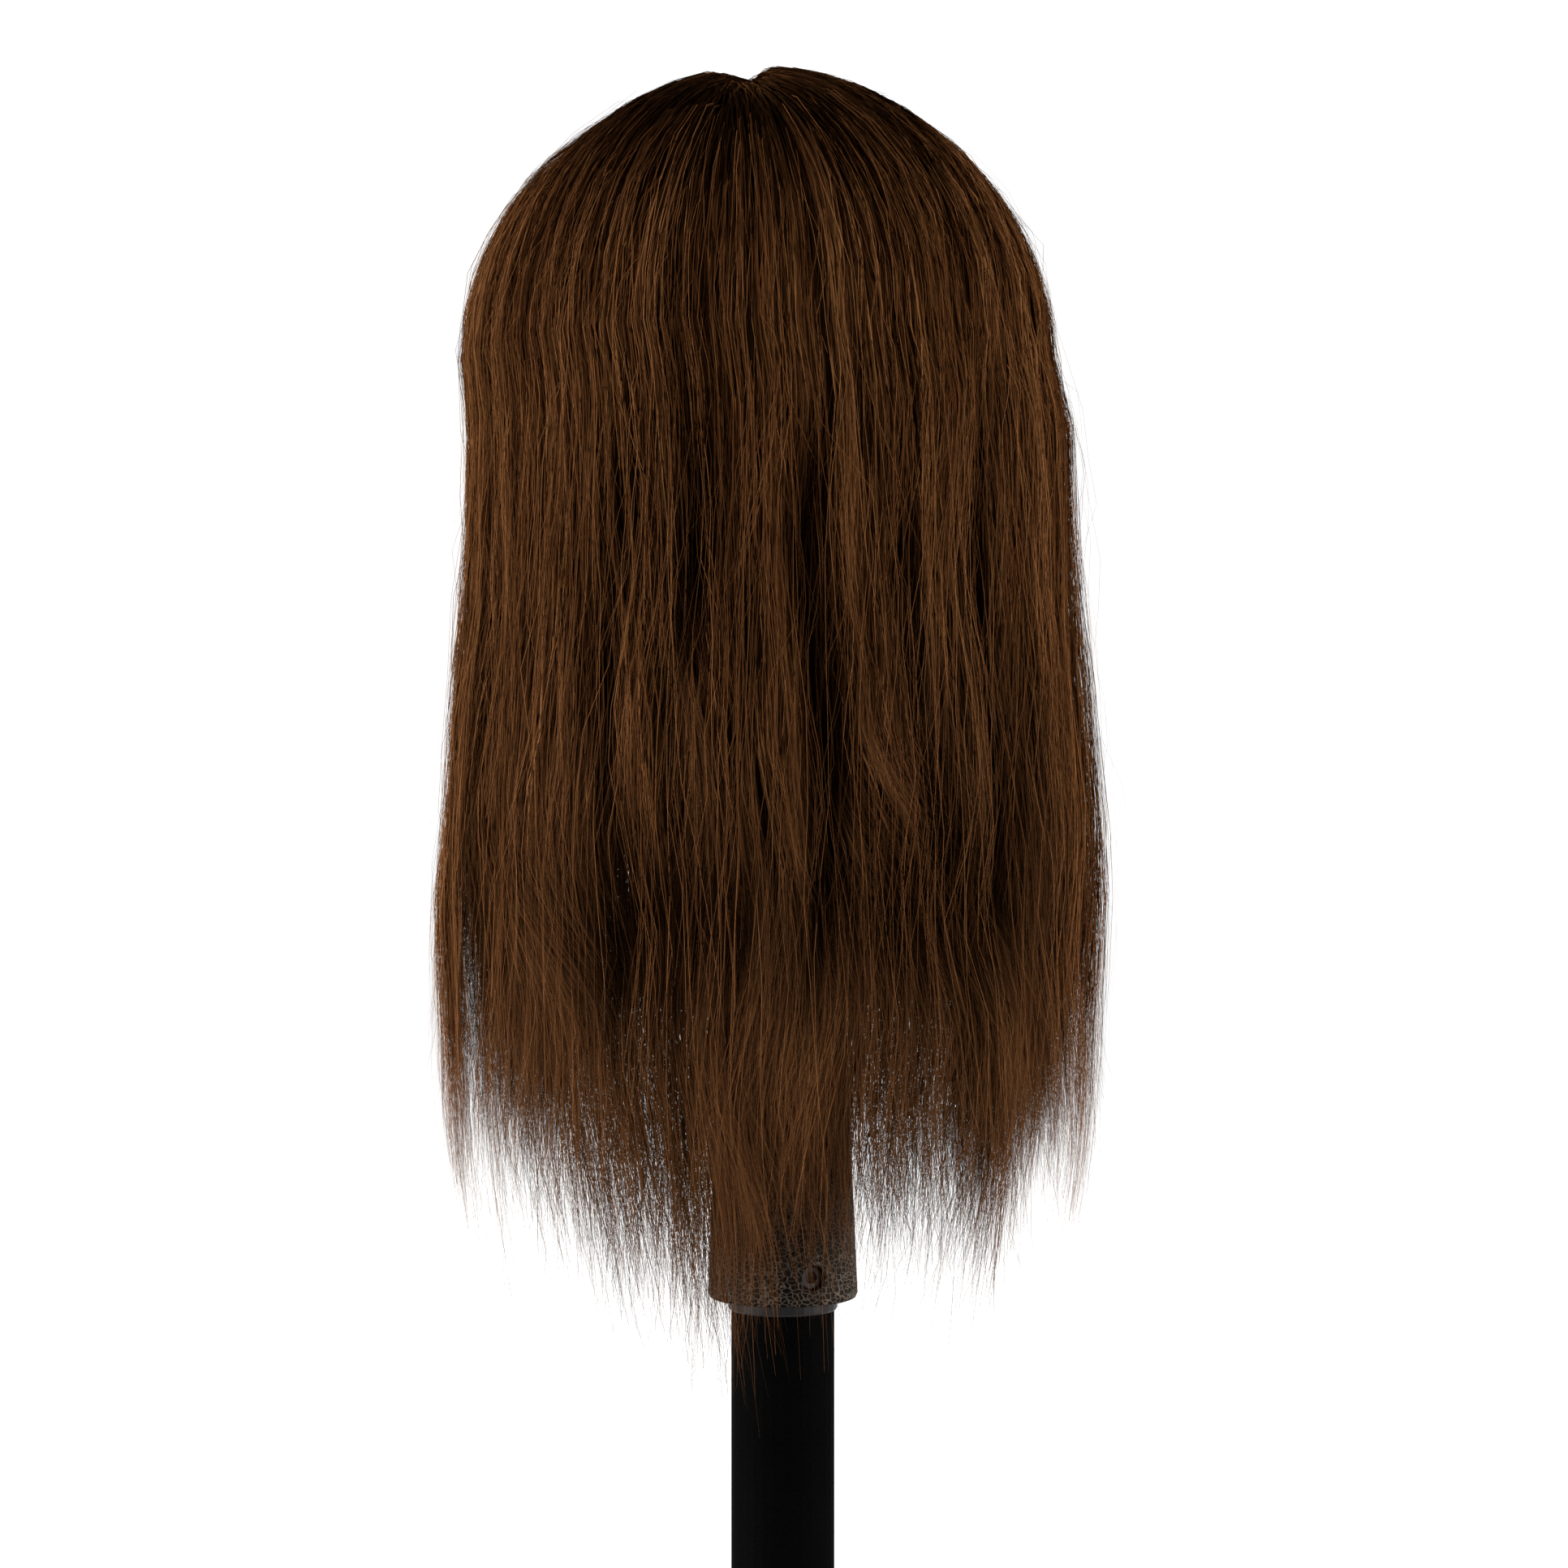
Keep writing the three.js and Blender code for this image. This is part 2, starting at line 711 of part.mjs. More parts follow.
// The arch over the face that the front hair leaves open, as a prism along Y.
function faceArch() {
  const { partX, widestZ, hairlineZ } = HAIR;
  const [left, right] = [FACE_EDGE.left, FACE_EDGE.right].map(
    (edge) => hangingPoint(radians(edge), widestZ, HAIR.thickness / 2).x,
  );
  const arch = new THREE.Shape();
  arch.moveTo(right, widestZ - 2);
  arch.lineTo(left, widestZ - 2);
  arch.quadraticCurveTo(left - 6, hairlineZ - 14, partX + 1, hairlineZ);
  arch.lineTo(partX - 1, hairlineZ);
  arch.quadraticCurveTo(right + 6, hairlineZ - 14, right, widestZ - 2);
  const prism = new THREE.ExtrudeGeometry(arch, { depth: 90, bevelEnabled: false, curveSegments: 6 });
  return prism.rotateX(Math.PI / 2).translate(0, -40, 0);
}

// One side of the hair on top of the head, from the parting down to the widest level.
function topPanel(side) {
  const { topZ, widestZ, partX, rootGap } = HAIR;
  const half = new THREE.BoxGeometry(200, 300, 140).translate(
    partX - side * (100 - GAP / 2),
    0,
    (topZ + widestZ) / 2,
  );
  return cut(hairDome(), headRoom(rootGap), faceArch(), half);
}

// ---------------------------------------------------------------- the assembly

const post = new THREE.Group();
post.add(
  piece("post_tube", "tube", postTube()),
  piece("post_foot_plug", "gloss", footPlug()),
  piece("post_top_plug", "gloss", topPlug()),
);

const cone = new THREE.Group();
cone.add(
  piece("holder_cone", "wrinkle", holderCone()),
  piece("cone_cap", "wrinkle", coneCap()),
  piece("lower_bush", "gloss", lowerBush()),
  piece("upper_bush", "gloss", upperBush()),
  piece("thrust_washer", "steel", thrustWasher()),
  piece("lock_screw", "steel", lockScrew()),
);

const head = new THREE.Group();
head.position.z = HEAD.baseZ;
head.add(
  piece("head_skin", "skin", headSkin()),
  piece("foam_core", "foam", foamCore()),
  piece("neck_socket", "gloss", neckSocket()),
  piece("base_plate", "gloss", basePlate()),
  piece("eyelash_left", "lash", eyelash(1)),
  piece("eyelash_right", "lash", eyelash(-1)),
);
screwPlaces().forEach(([x, y], i) => {
  const screw = piece(`base_screw_${i + 1}`, "steel", baseScrew());
  screw.position.set(x, y, 0);
  head.add(screw);
});

const hair = new THREE.Group();
hair.add(
  piece("hair_side_left", "hair", hangingPanel(FACE_EDGE.left, 22)),
  piece("hair_back_left", "hair", hangingPanel(22.4, 68)),
  piece("hair_back_center", "hair", hangingPanel(68.4, 111.6)),
  piece("hair_back_right", "hair", hangingPanel(112, 157.6)),
  piece("hair_side_right", "hair", hangingPanel(158, FACE_EDGE.right)),
  piece("hair_top_left", "hair", topPanel(1)),
  piece("hair_top_right", "hair", topPanel(-1)),
);

const trainingHead = new THREE.Group();
trainingHead.add(post, cone, head, hair);

export default trainingHead;
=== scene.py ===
"""A hairdressing practice head with long rooted hair, on its swivelling holder cone.

The engineering model is the fixed frame. This file adds the surfaces that are seen: the vinyl
head with its face, the eyes, lashes and brows, the hair as combed strands over an under-layer,
the finishes of the holder, and a plain studio. Sizes in the tables are millimetres, meshes are
in metres, the face looks along -Y and +X is the head's own left.
"""

import math

import bpy
import numpy as np
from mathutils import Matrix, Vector


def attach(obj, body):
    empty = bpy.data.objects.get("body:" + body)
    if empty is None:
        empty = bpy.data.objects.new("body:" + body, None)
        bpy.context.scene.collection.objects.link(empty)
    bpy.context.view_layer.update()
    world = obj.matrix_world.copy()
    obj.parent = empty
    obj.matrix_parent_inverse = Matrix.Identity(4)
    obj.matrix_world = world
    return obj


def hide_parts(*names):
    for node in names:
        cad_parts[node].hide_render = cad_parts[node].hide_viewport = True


bl_info = {
    "name": "Hairdressing Practice Head",
    "version": (1, 0, 0),
    "blender": (4, 5, 0),
    "location": "3D View > Sidebar > Practice Head",
    "description": "Vinyl head, combed hair, holder finishes and studio for a practice head",
    "category": "Object",
}

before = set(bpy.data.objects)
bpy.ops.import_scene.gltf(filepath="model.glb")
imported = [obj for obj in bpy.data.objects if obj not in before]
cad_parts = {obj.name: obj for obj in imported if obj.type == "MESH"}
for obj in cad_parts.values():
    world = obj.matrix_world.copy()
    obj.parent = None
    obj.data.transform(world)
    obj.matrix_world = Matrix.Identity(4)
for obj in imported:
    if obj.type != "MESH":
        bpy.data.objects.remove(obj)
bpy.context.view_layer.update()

MM = 0.001

# ---------------------------------------------------------------- sizes of the head

NECK_BASE = 234  # height of the head's lower edge above the foot of the post
HEAD_HEIGHT = 300
DOME_FROM = 216
DOME_POWER = 2.2

# Height above the neck's base, then the reach to the face, to the back and to each side.
HEAD_LEVELS = np.array(
    [
        [0, 52, 62, 62],
        [10, 49, 59, 59],
        [28, 46, 54, 52.5],
        [48, 46.5, 52, 50],
        [64, 50, 53, 50],
        [71, 64, 54, 50],
        [77, 82, 55, 50],
        [87, 90, 57, 51],
        [101, 90, 60, 56],
        [119, 92, 66, 61.5],
        [139, 93, 78, 67],
        [166, 94, 90, 72],
        [189, 96, 94, 75],
        [203, 100, 95, 76.5],
        [216, 100, 95, 77],
    ]
)

# Soft forms of the face: distance from the middle, height, spread across, spread up, and how
# far each stands out. Every one is on both sides.
FACE_FORMS = np.array(
    [
        [27, 203, 15, 6, 2.5],
        [30, 189, 13, 8.5, -8.5],
        [14, 190, 5, 8, -5],
        [45, 164, 14, 12, 3.5],
        [42, 130, 12, 12, -2],
        [11.5, 145, 4.2, 4.6, 6.0],
        [16.5, 144, 2.0, 6.0, -1.2],
        [6.4, 139.5, 2.7, 2.0, -4.0],
        [0, 131, 2.4, 5, -1.2],
        [4.6, 130, 1.6, 5, 0.6],
        [26, 119, 3.5, 3.5, -2.0],
        [0, 103, 18, 4.5, -4],
        [0, 89, 15, 8, 5],
        [66, 205, 12, 16, -2],
        [50, 96, 12, 13, -4],
    ]
)
NOSE = {"top": 200, "tip": 150, "base": 138, "rise": 19, "bridge": 3, "width": 7.6}
MOUTH = {"height": 119, "half": 24, "upper": 123.6, "lower": 113.6, "up_out": 4.6, "low_out": 5.8}
EYE = {"x": 31.0, "y": -74.6, "height": 188.5, "radius": 12.5, "lid": 1.3, "half": 14.2}
EYE_OPEN = {"up": 3.9, "down": 3.6, "tilt": 0.06}

# ---------------------------------------------------------------- sizes of the hair

RING = 446  # the level where the hair is widest round the head, and falls from
HAIR_TOP = 545
HAIR_POWER = 1.95
CROWN = {"x": 14.5, "y": 58.0, "front": -84.0}
INNER_DOME = {"side": 78.0, "front": 101.0, "back": 96.5, "top": 535.5, "power": 2.2}
FRONT_EDGE = 134.0  # how far round from the back the hair reaches, degrees

# Height, then the reach of the hair's outside to the face, to the back and to each side.
HAIR_LEVELS = np.array(
    [
        [100, 70, 76, 90],
        [150, 77, 83, 98],
        [184, 84, 90, 103],
        [212, 90, 96, 104],
        [240, 95, 101, 106.5],
        [267, 98, 104, 108],
        [322, 101, 108, 103.5],
        [377, 104, 112, 98],
        [446, 106, 113, 96],
    ]
)

# Angle from the head's left, and the height where the longest hair there ends.
TIP_LEVELS = np.array(
    [
        [-44, 172],
        [0, 168],
        [20, 140],
        [36, 108],
        [54, 94],
        [68, 88],
        [90, 104],
        [101, 94],
        [112, 102],
        [130, 118],
        [150, 142],
        [180, 156],
        [224, 172],
    ]
)

# The deep furrows between the large locks: angle, half-width in degrees, depth, and the
# heights between which each is open.
FURROWS = np.array(
    [
        [98.5, 2.4, 9.0, 235, 425],
        [62.0, 2.6, 5.0, 240, 420],
        [75.5, 2.2, 6.0, 320, 420],
        [136.0, 2.8, 6.0, 250, 480],
        [117.0, 2.2, 5.0, 290, 400],
        [84.0, 1.8, 3.0, 330, 420],
        [108.0, 1.8, 3.0, 380, 480],
        [30.0, 3.2, 4.5, 240, 400],
        [160.0, 3.2, 4.0, 230, 380],
        [5.0, 3.0, 3.5, 240, 400],
        [190.0, 3.0, 3.5, 240, 400],
        [127.0, 3.6, 4.0, 240, 420],
    ]
)

# Where locks turn aside as they fall: angle, half-width, start and end heights, turn, and the
# depth that the turn reaches, as the layer where it has faded out.
SWEEPS = np.array(
    [
        [68.0, 9.0, 392, 322, 9.0, 0.2],
        [100.0, 8.0, 372, 330, 4.0, 0.2],
        [112.0, 10.0, 322, 256, 25.0, 0.66],
        [38.0, 12.0, 285, 232, 15.0, 0.6],
        [44.0, 18.0, 236, 130, 8.0, 0.0],
        [122.0, 14.0, 222, 140, 3.0, 0.0],
        [160.0, 14.0, 240, 180, -4.0, 0.0],
    ]
)

# Hollows between folds of the hair, and swells: angle, half-width in degrees, height,
# half-height, and depth inwards.
DENTS = np.array(
    [
        [120.0, 15.0, 261, 19, 13.0],
        [70.0, 12.0, 254, 20, 12.0],
        [123.0, 8.0, 335, 48, 3.5],
        [73.0, 6.5, 374, 20, 7.0],
        [72.0, 8.0, 316, 20, -3.0],
        [105.0, 5.0, 342, 20, 4.0],
        [84.0, 5.0, 262, 18, 3.5],
        [140.0, 8.0, 300, 24, 3.0],
        [30.0, 8.0, 262, 20, 4.0],
        [160.0, 8.0, 250, 18, 5.0],
        [0.0, 12.0, 300, 25, 3.0],
        [200.0, 12.0, 290, 25, 3.0],
    ]
)

# The share of the hair that ends below each level. Level 0 is the longest tip at that angle, and
# level 1 is the foot of the dense hair.
END_SHARES = (0.0, 0.002, 0.006, 0.012, 0.03, 0.12, 0.45, 1.0)
END_LEVELS = (0.0, 0.3, 0.5, 0.7, 0.85, 1.0, 1.2, 1.7)
DENSE_FOOT = 228

# How strands are sorted into locks: the width of a lock in degrees, and the number of layers.
LARGE_LOCK, LARGE_LAYERS = 4.2, 4
FINE_LOCK, FINE_LAYERS = 0.85, 9
END_LOCK, END_LAYERS = 6.0, 3
FINE_END_LOCK, FINE_END_LAYERS = 1.6, 5

FROM_THE_DOME = 0.78  # share of the strands that grow above the widest ring
DOME_POINTS = 9  # points of a strand that lie above the widest ring
STANDING_OUT = 0.05  # share of the strands that lie outside the rest
# The paler strands below are painted glints, standing in for highlights on single strands.
GLINT_STRANDS = 0.05  # share of the strands that are paler than the rest
END_BEND = 18  # the furthest that a thin end bends aside, millimetres
WISPS, WISP_HAIRS = 88, 16  # loose wisps at the sides, and the hairs in each
EDGE_WISPS = 4  # wisps that stand off the upper left edge
UNDER_COLUMNS = 210

# The hair is made in sectors: their limits in degrees, their names from the head's left round
# the back, and the CAD panel that some of them stand for.
SECTORS = (-44.0, -10.0, 18.0, 45.0, 68.0, 90.0, 112.0, 134.0, 158.0, 188.0, 224.0)
SECTOR_NAMES = (
    "side_left",
    "temple_left",
    "back_left",
    "nape_left",
    "back_middle",
    "nape_middle",
    "nape_right",
    "back_right",
    "temple_right",
    "side_right",
)
SECTOR_NODES = {
    "side_left": "hair_side_left",
    "back_left": "hair_back_left",
    "back_middle": "hair_back_center",
    "back_right": "hair_back_right",
    "side_right": "hair_side_right",
}


# ---------------------------------------------------------------- arithmetic


def bell(value, centre, spread):
    """A bell curve of height 1: e to the power of minus half the squared distance in spreads."""
    return np.exp(-0.5 * ((value - centre) / spread) ** 2)


def smooth(value, low, high):
    """0 below low, 1 above high, and three times the square less twice the cube between."""
    share = np.clip((value - low) / (high - low), 0.0, 1.0)
    return share * share * (3.0 - 2.0 * share)


def mix(a, b, share):
    """a at share 0, b at share 1, and a straight line between."""
    return a + (b - a) * share


def level_curve(rows, column, height):
    """A smooth curve through one column of a table: a cubic between neighbouring rows whose
    slope at each row is that of the line between the rows on both sides of it."""
    heights, values = rows[:, 0], rows[:, column]
    last = len(heights) - 1
    index = np.arange(last + 1)
    before, after = np.clip(index - 1, 0, last), np.clip(index + 1, 0, last)
    slopes = (values[after] - values[before]) / (heights[after] - heights[before])
    inside = np.clip(height, heights[0], heights[-1])
    i = np.clip(np.searchsorted(heights, inside, side="left") - 1, 0, last - 1)
    step = heights[i + 1] - heights[i]
    t = (inside - heights[i]) / step
    start = values[i] * (1 + 2 * t) * (1 - t) ** 2 + slopes[i] * step * t * (1 - t) ** 2
    end = values[i + 1] * t * t * (3 - 2 * t) + slopes[i + 1] * step * t * t * (t - 1)
    return start + end


def dome_share(share, power):
    """How much a dome has closed in at a share of its height: the share that is left of its
    radius, from share to the power plus radius to the power being 1."""
    return (1.0 - np.clip(share, 0.0, 1.0) ** power) ** (1.0 / power)


def unit(vectors):
    """Each vector divided by its own length."""
    length = np.linalg.norm(vectors, axis=-1, keepdims=True)
    return vectors / np.maximum(length, 1e-12)


# ---------------------------------------------------------------- meshes


def new_mesh(name, points, faces):
    """A mesh from an (n, 3) array of points and an (m, 3) or (m, 4) array of corners."""
    mesh = bpy.data.meshes.new(name)
    faces = np.asarray(faces, dtype=np.int32)
    count, corners = faces.shape
    mesh.vertices.add(len(points))
    mesh.vertices.foreach_set("co", np.asarray(points, dtype=np.float32).ravel())
    mesh.loops.add(count * corners)
    mesh.loops.foreach_set("vertex_index", faces.ravel())
    mesh.polygons.add(count)
    mesh.polygons.foreach_set("loop_start", np.arange(0, count * corners, corners, dtype=np.int32))
    mesh.polygons.foreach_set("use_smooth", np.ones(count, dtype=bool))
    mesh.update(calc_edges=True)
    return mesh


def paint(mesh, **layers):
    """Stores one number for each vertex under each name, for the materials to read."""
    for name, values in layers.items():
        layer = mesh.attributes.new(name, "FLOAT", "POINT")
        layer.data.foreach_set("value", np.asarray(values, dtype=np.float32).ravel())


def map_surface(mesh, u, v):
    """Gives a mesh a UV map from one u and one v for each vertex."""
    corner = np.empty(len(mesh.loops), dtype=np.int32)
    mesh.loops.foreach_get("vertex_index", corner)
    layer = mesh.uv_layers.new(name="UVMap")
    both = np.stack([u[corner], v[corner]], axis=1).astype(np.float32)
    layer.data.foreach_set("uv", both.ravel())


def add_piece(mesh, finish, body, replaced=()):
    """Puts a mesh in the scene as a piece that rides on a body and stands for CAD nodes."""
    piece = bpy.data.objects.new(mesh.name, mesh)
    bpy.context.scene.collection.objects.link(piece)
    mesh.materials.append(finish)
    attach(piece, body)
    if replaced:
        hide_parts(*replaced)


def grid_quads(rows, columns, closed=False):
    """The corners of the faces of a grid of points in rows, whose rows may close on themselves."""
    index = np.arange(rows * columns).reshape(rows, columns)
    right = np.roll(index, -1, axis=1)
    a, b = index[:-1], right[:-1]
    c, d = right[1:], index[1:]
    if not closed:
        a, b, c, d = a[:, :-1], b[:, :-1], c[:, :-1], d[:, :-1]
    return np.stack([a, d, c, b], axis=-1).reshape(-1, 4)


def join_meshes(parts):
    """Several (points, faces) pairs as one, with each one's corners counted on from the last."""
    points, faces, base = [], [], 0
    for part_points, part_faces in parts:
        points.append(part_points)
        faces.append(part_faces + base)
        base += len(part_points)
    return np.concatenate(points), np.concatenate(faces)


def strands(paths, widths, lean, facing):
    """Thin ribbons along many paths at once.

    paths is (n, k, 3). At each point the direction is that of its neighbours, the side is the
    direction crossed with the outward vector, turned about the direction by the lean, and the
    two edges stand half a width to each side. The width narrows over the last fifth.
    """
    n, k, _ = paths.shape
    along = unit(np.gradient(paths, axis=1))
    across = unit(np.cross(along, facing))
    outward = np.cross(across, along)
    side = np.cos(lean)[..., None] * across + np.sin(lean)[..., None] * outward
    t = np.linspace(0.0, 1.0, k)
    half = 0.5 * widths[:, None] * (1.0 - 0.75 * smooth(t, 0.8, 1.0))[None, :]
    points = np.stack([paths - side * half[..., None], paths + side * half[..., None]], axis=2)
    base = (np.arange(n) * 2 * k)[:, None] + 2 * np.arange(k - 1)[None, :]
    quads = np.stack([base, base + 1, base + 3, base + 2], axis=-1).reshape(-1, 4)
    return points.reshape(-1, 3), quads


# ---------------------------------------------------------------- the shape of the head


def head_section(height, depth=0.0):
    """Reach to the face, to the back and to the side at a height above the neck's base. Above
    DOME_FROM the last section closes in as a dome."""
    level = np.minimum(height, DOME_FROM)
    close = dome_share((height - DOME_FROM) / (HEAD_HEIGHT - DOME_FROM), DOME_POWER)
    close = np.where(height > DOME_FROM, close, 1.0)
    return [(level_curve(HEAD_LEVELS, column, level) - depth) * close for column in (1, 2, 3)]


def face_forms(x, height):
    """How far the face stands out of its plain section: the sum of paired bells, a ridge for
    the nose that rises and widens downwards, and two rolls for the lips."""
    side = np.abs(x)
    out = np.zeros_like(x)
    for across, up, spread_x, spread_z, amount in FACE_FORMS:
        out += amount * bell(side, across, spread_x) * bell(height, up, spread_z)
    down = np.clip((NOSE["top"] - height) / (NOSE["top"] - NOSE["tip"]), 0.0, 1.0)
    ridge = mix(NOSE["bridge"], NOSE["rise"], down**1.2) * bell(x, 0, mix(5, NOSE["width"], down))
    out += ridge * smooth(height, NOSE["base"], NOSE["base"] + 10) * (
        1 - smooth(height, NOSE["top"] - 8, NOSE["top"] + 12)
    )
    along = np.sqrt(np.maximum(0.0, 1 - (x / MOUTH["half"]) ** 2))
    bow = 1.3 * bell(side, 4.5, 2.6) - 1.1 * bell(x, 0, 2.2)
    upper = MOUTH["up_out"] * bell(height, MOUTH["upper"] + bow, 2.9)
    lower = MOUTH["low_out"] * bell(height, MOUTH["lower"], 3.7)
    line = 3.4 * bell(height, MOUTH["height"] + 0.5 * bow, 1.05)
    return out + along * (upper + lower) - np.sqrt(along) * line


def eye_shape(x, height):
    """Where a point lies in the almond between the lids: sideways from the eye's middle, and
    above and below the two lid edges, which are flattened arches that meet at the corners."""
    sideways = np.abs(x) - EYE["x"]
    level = height - EYE["height"] - EYE_OPEN["tilt"] * sideways
    arch = np.maximum(0.0, 1 - (sideways / EYE["half"]) ** 2)
    above = level - EYE_OPEN["up"] * arch**0.8
    below = -level - EYE_OPEN["down"] * arch**0.9
    return sideways, above, below


def lids(y, x, height):
    """The face with lids over the eyeballs: the nearer to the front of the face and of a ball
    a lid's thickness outside the eye, joined softly, and pushed in between the lid edges."""
    ball = EYE["radius"] + EYE["lid"]
    sideways, above, below = eye_shape(x, height)
    square = ball**2 - sideways**2 - (height - EYE["height"]) ** 2
    front = np.where(square > 0, EYE["y"] - np.sqrt(np.maximum(square, 0.0)), 99.0)
    blend = 1.6
    share = np.clip(0.5 + 0.5 * (front - y) / blend, 0.0, 1.0)
    lidded = mix(front, y, share) - blend * share * (1 - share)
    crease = 1.1 * bell(above, 3.6, 0.9) + 0.6 * bell(below, 3.4, 1.2)
    near = smooth(-np.abs(sideways), -EYE["half"] - 2, -EYE["half"] + 5)
    opened = smooth(-above, 0.0, 0.9) * smooth(-below, 0.0, 0.9)
    opened *= smooth(-np.abs(sideways), -EYE["half"], -EYE["half"] + 1.5)
    return lidded + crease * near + 4.2 * opened * near


def head_points(turn, height):
    """Points of the head's skin in millimetres above the neck's base. The turn runs from the
    head's left through its back, and the face's relief is pushed straight forward."""
    front, back, side = head_section(height)
    x = np.cos(turn) * side
    y = np.sin(turn) * np.where(np.sin(turn) < 0, front, back)
    facing = np.maximum(0.0, -np.sin(turn)) ** 0.6
    formed = y - facing * face_forms(x, height)
    y = np.where(facing > 0, lids(formed, x, height), y)
    return np.stack([x, y, height + 0 * x], axis=-1)


def make_head(finish):
    """The skin: a grid of 220 by 300 points over the head, closest together on the face, closed
    at the top, with a rolled lower edge that turns in under the neck."""
    columns = 220
    turns = np.linspace(-np.pi, np.pi, columns, endpoint=False)
    turn = turns - 0.74 * np.sin(turns) - np.pi / 2
    face = np.linspace(78, 212, 190)
    neck = np.linspace(1.2, 77.2, 46)
    dome = DOME_FROM + (HEAD_HEIGHT - DOME_FROM) * np.sin(np.linspace(0.02, np.pi / 2 - 0.012, 60))
    heights = np.concatenate([neck, face, dome])
    body = head_points(turn[None, :], heights[:, None])
    top = np.broadcast_to([0.0, 0.0, HEAD_HEIGHT], (1, columns, 3)) + 1e-3 * body[-1:]
    top[..., 2] = HEAD_HEIGHT
    lip = []
    for drop, inwards in ((0.35, 0.35), (0.0, 1.3), (0.0, 3.9)):
        front, back, side = head_section(np.zeros(columns), inwards)
        reach = np.where(np.sin(turn) < 0, front, back)
        level = np.full(columns, drop)
        lip.append(np.stack([np.cos(turn) * side, np.sin(turn) * reach, level], -1))
    rim = np.array(lip[::-1])
    points = np.concatenate([rim, body, top])
    rows = len(points)
    x, height = points[..., 0], points[..., 2]
    sideways, above, below = eye_shape(x, height)
    in_front = smooth(-points[..., 1], 20, 50)
    along = np.maximum(0.0, 1 - (x / (MOUTH["half"] + 0.5)) ** 2)
    bow = 1.3 * bell(np.abs(x), 4.5, 2.6) - 1.1 * bell(x, 0, 2.2)
    lip_top = MOUTH["height"] + (MOUTH["upper"] - MOUTH["height"] + 3.0 + bow) * along**0.75
    lip_low = MOUTH["height"] - (MOUTH["height"] - MOUTH["lower"] + 4.4) * along**0.6
    lips = smooth(lip_top - height, -0.5, 0.7) * smooth(height - lip_low, -0.5, 0.7)
    lips *= (along > 0) * in_front
    flush = bell(np.abs(x), 46, 13) * bell(height, 153, 14) * in_front
    flush += 0.7 * bell(x, 0, 8) * bell(height, 147, 7) * in_front
    shade = bell(above, 3.0, 2.6) * smooth(-np.abs(sideways), -18, -8) * in_front
    # Painted shade in the nostrils, under the nose.
    dark = bell(np.abs(x), 6.4, 1.9) * bell(height, 139.6, 1.7) * in_front
    world = (points.reshape(-1, 3) + [0, 0, NECK_BASE]) * MM
    mesh = new_mesh("face_and_scalp", world, grid_quads(rows, columns, closed=True)[:, ::-1])
    paint(mesh, lips=lips, flush=flush, lid_shade=shade, nostril=dark)
    add_piece(mesh, finish, "head", ["head_skin"])


def make_ears(finish):
    """Each ear is a bowl on an egg-shaped outline: round the rim a rolled edge stands out, a
    second fold runs inside it, and the middle sinks to the hollow."""
    rings, spokes = 34, 72
    out = np.linspace(0.0, 1.0, rings)[:, None]
    turn = np.linspace(0, 2 * np.pi, spokes, endpoint=False)[None, :]
    along = 15.5 * out * np.cos(turn) * (1.0 + 0.16 * np.sin(turn))
    up = 30.5 * out * np.sin(turn)
    fold = 1.8 * bell(out, 0.6, 0.09) * smooth(np.sin(turn), -0.9, -0.2)
    rim = 3.0 * bell(out, 0.88, 0.09) + fold
    hollow = -4.5 * bell(out, 0.12, 0.26)
    stand = 4.5 + 3.5 * smooth(np.cos(turn) * out, -0.9, 0.9) + rim + hollow
    stand = stand * (1 - smooth(out, 0.93, 1.0)) - 3.0 * smooth(out, 0.9, 1.0)
    pieces = []
    for side in (-1, 1):
        y = 9 + along + 0.2 * up
        height = 169 + up
        front, back, half = head_section(height)
        reach = np.where(y < 0, front, back)
        wall = half * np.sqrt(np.maximum(0.0, 1 - (y / reach) ** 2))
        points = np.stack([side * (wall - 0.3 + stand), y, height + NECK_BASE + 0 * y], -1)
        quads = grid_quads(rings, spokes, closed=True)
        pieces.append((points.reshape(-1, 3) * MM, quads if side < 0 else quads[:, ::-1]))
    mesh = new_mesh("ears", *join_meshes(pieces))
    zero = np.zeros(len(mesh.vertices))
    paint(mesh, lips=zero, flush=zero + 0.35, lid_shade=zero, nostril=zero)
    add_piece(mesh, finish, "head")


def make_eyes(finish):
    """The eyes: the front of a ball, in rings about the axis that it looks along, with a low
    swelling over the iris. Each vertex keeps its distance from the middle of the pupil."""
    rings, spokes = 44, 64
    open_angle = np.linspace(0.0, np.radians(88), rings)[:, None]
    turn = np.linspace(0, 2 * np.pi, spokes, endpoint=False)[None, :]
    radius = EYE["radius"] + 0.55 * bell(open_angle, 0, 0.33)
    across = radius * np.sin(open_angle)
    pieces, distance = [], []
    for side in (-1, 1):
        x = side * EYE["x"] + across * np.cos(turn)
        z = EYE["height"] + NECK_BASE + 0.2 + across * np.sin(turn)
        y = EYE["y"] - radius * np.cos(open_angle) + 0 * turn
        points = np.stack([x, y, z], -1).reshape(-1, 3) * MM
        pieces.append((points, grid_quads(rings, spokes, closed=True)))
        distance.append((across + 0 * turn).ravel())
    mesh = new_mesh("eyes", *join_meshes(pieces))
    paint(mesh, from_pupil=np.concatenate(distance))
    add_piece(mesh, finish, "head")


def skin_front(x, height):
    """The skin's y at a place on the face, from its section's curve and its relief."""
    front, _, side = head_section(height)
    across = np.sqrt(np.maximum(0.0, 1 - (x / side) ** 2))
    formed = -front * across - across**0.6 * face_forms(x, height)
    return lids(formed, x, height)


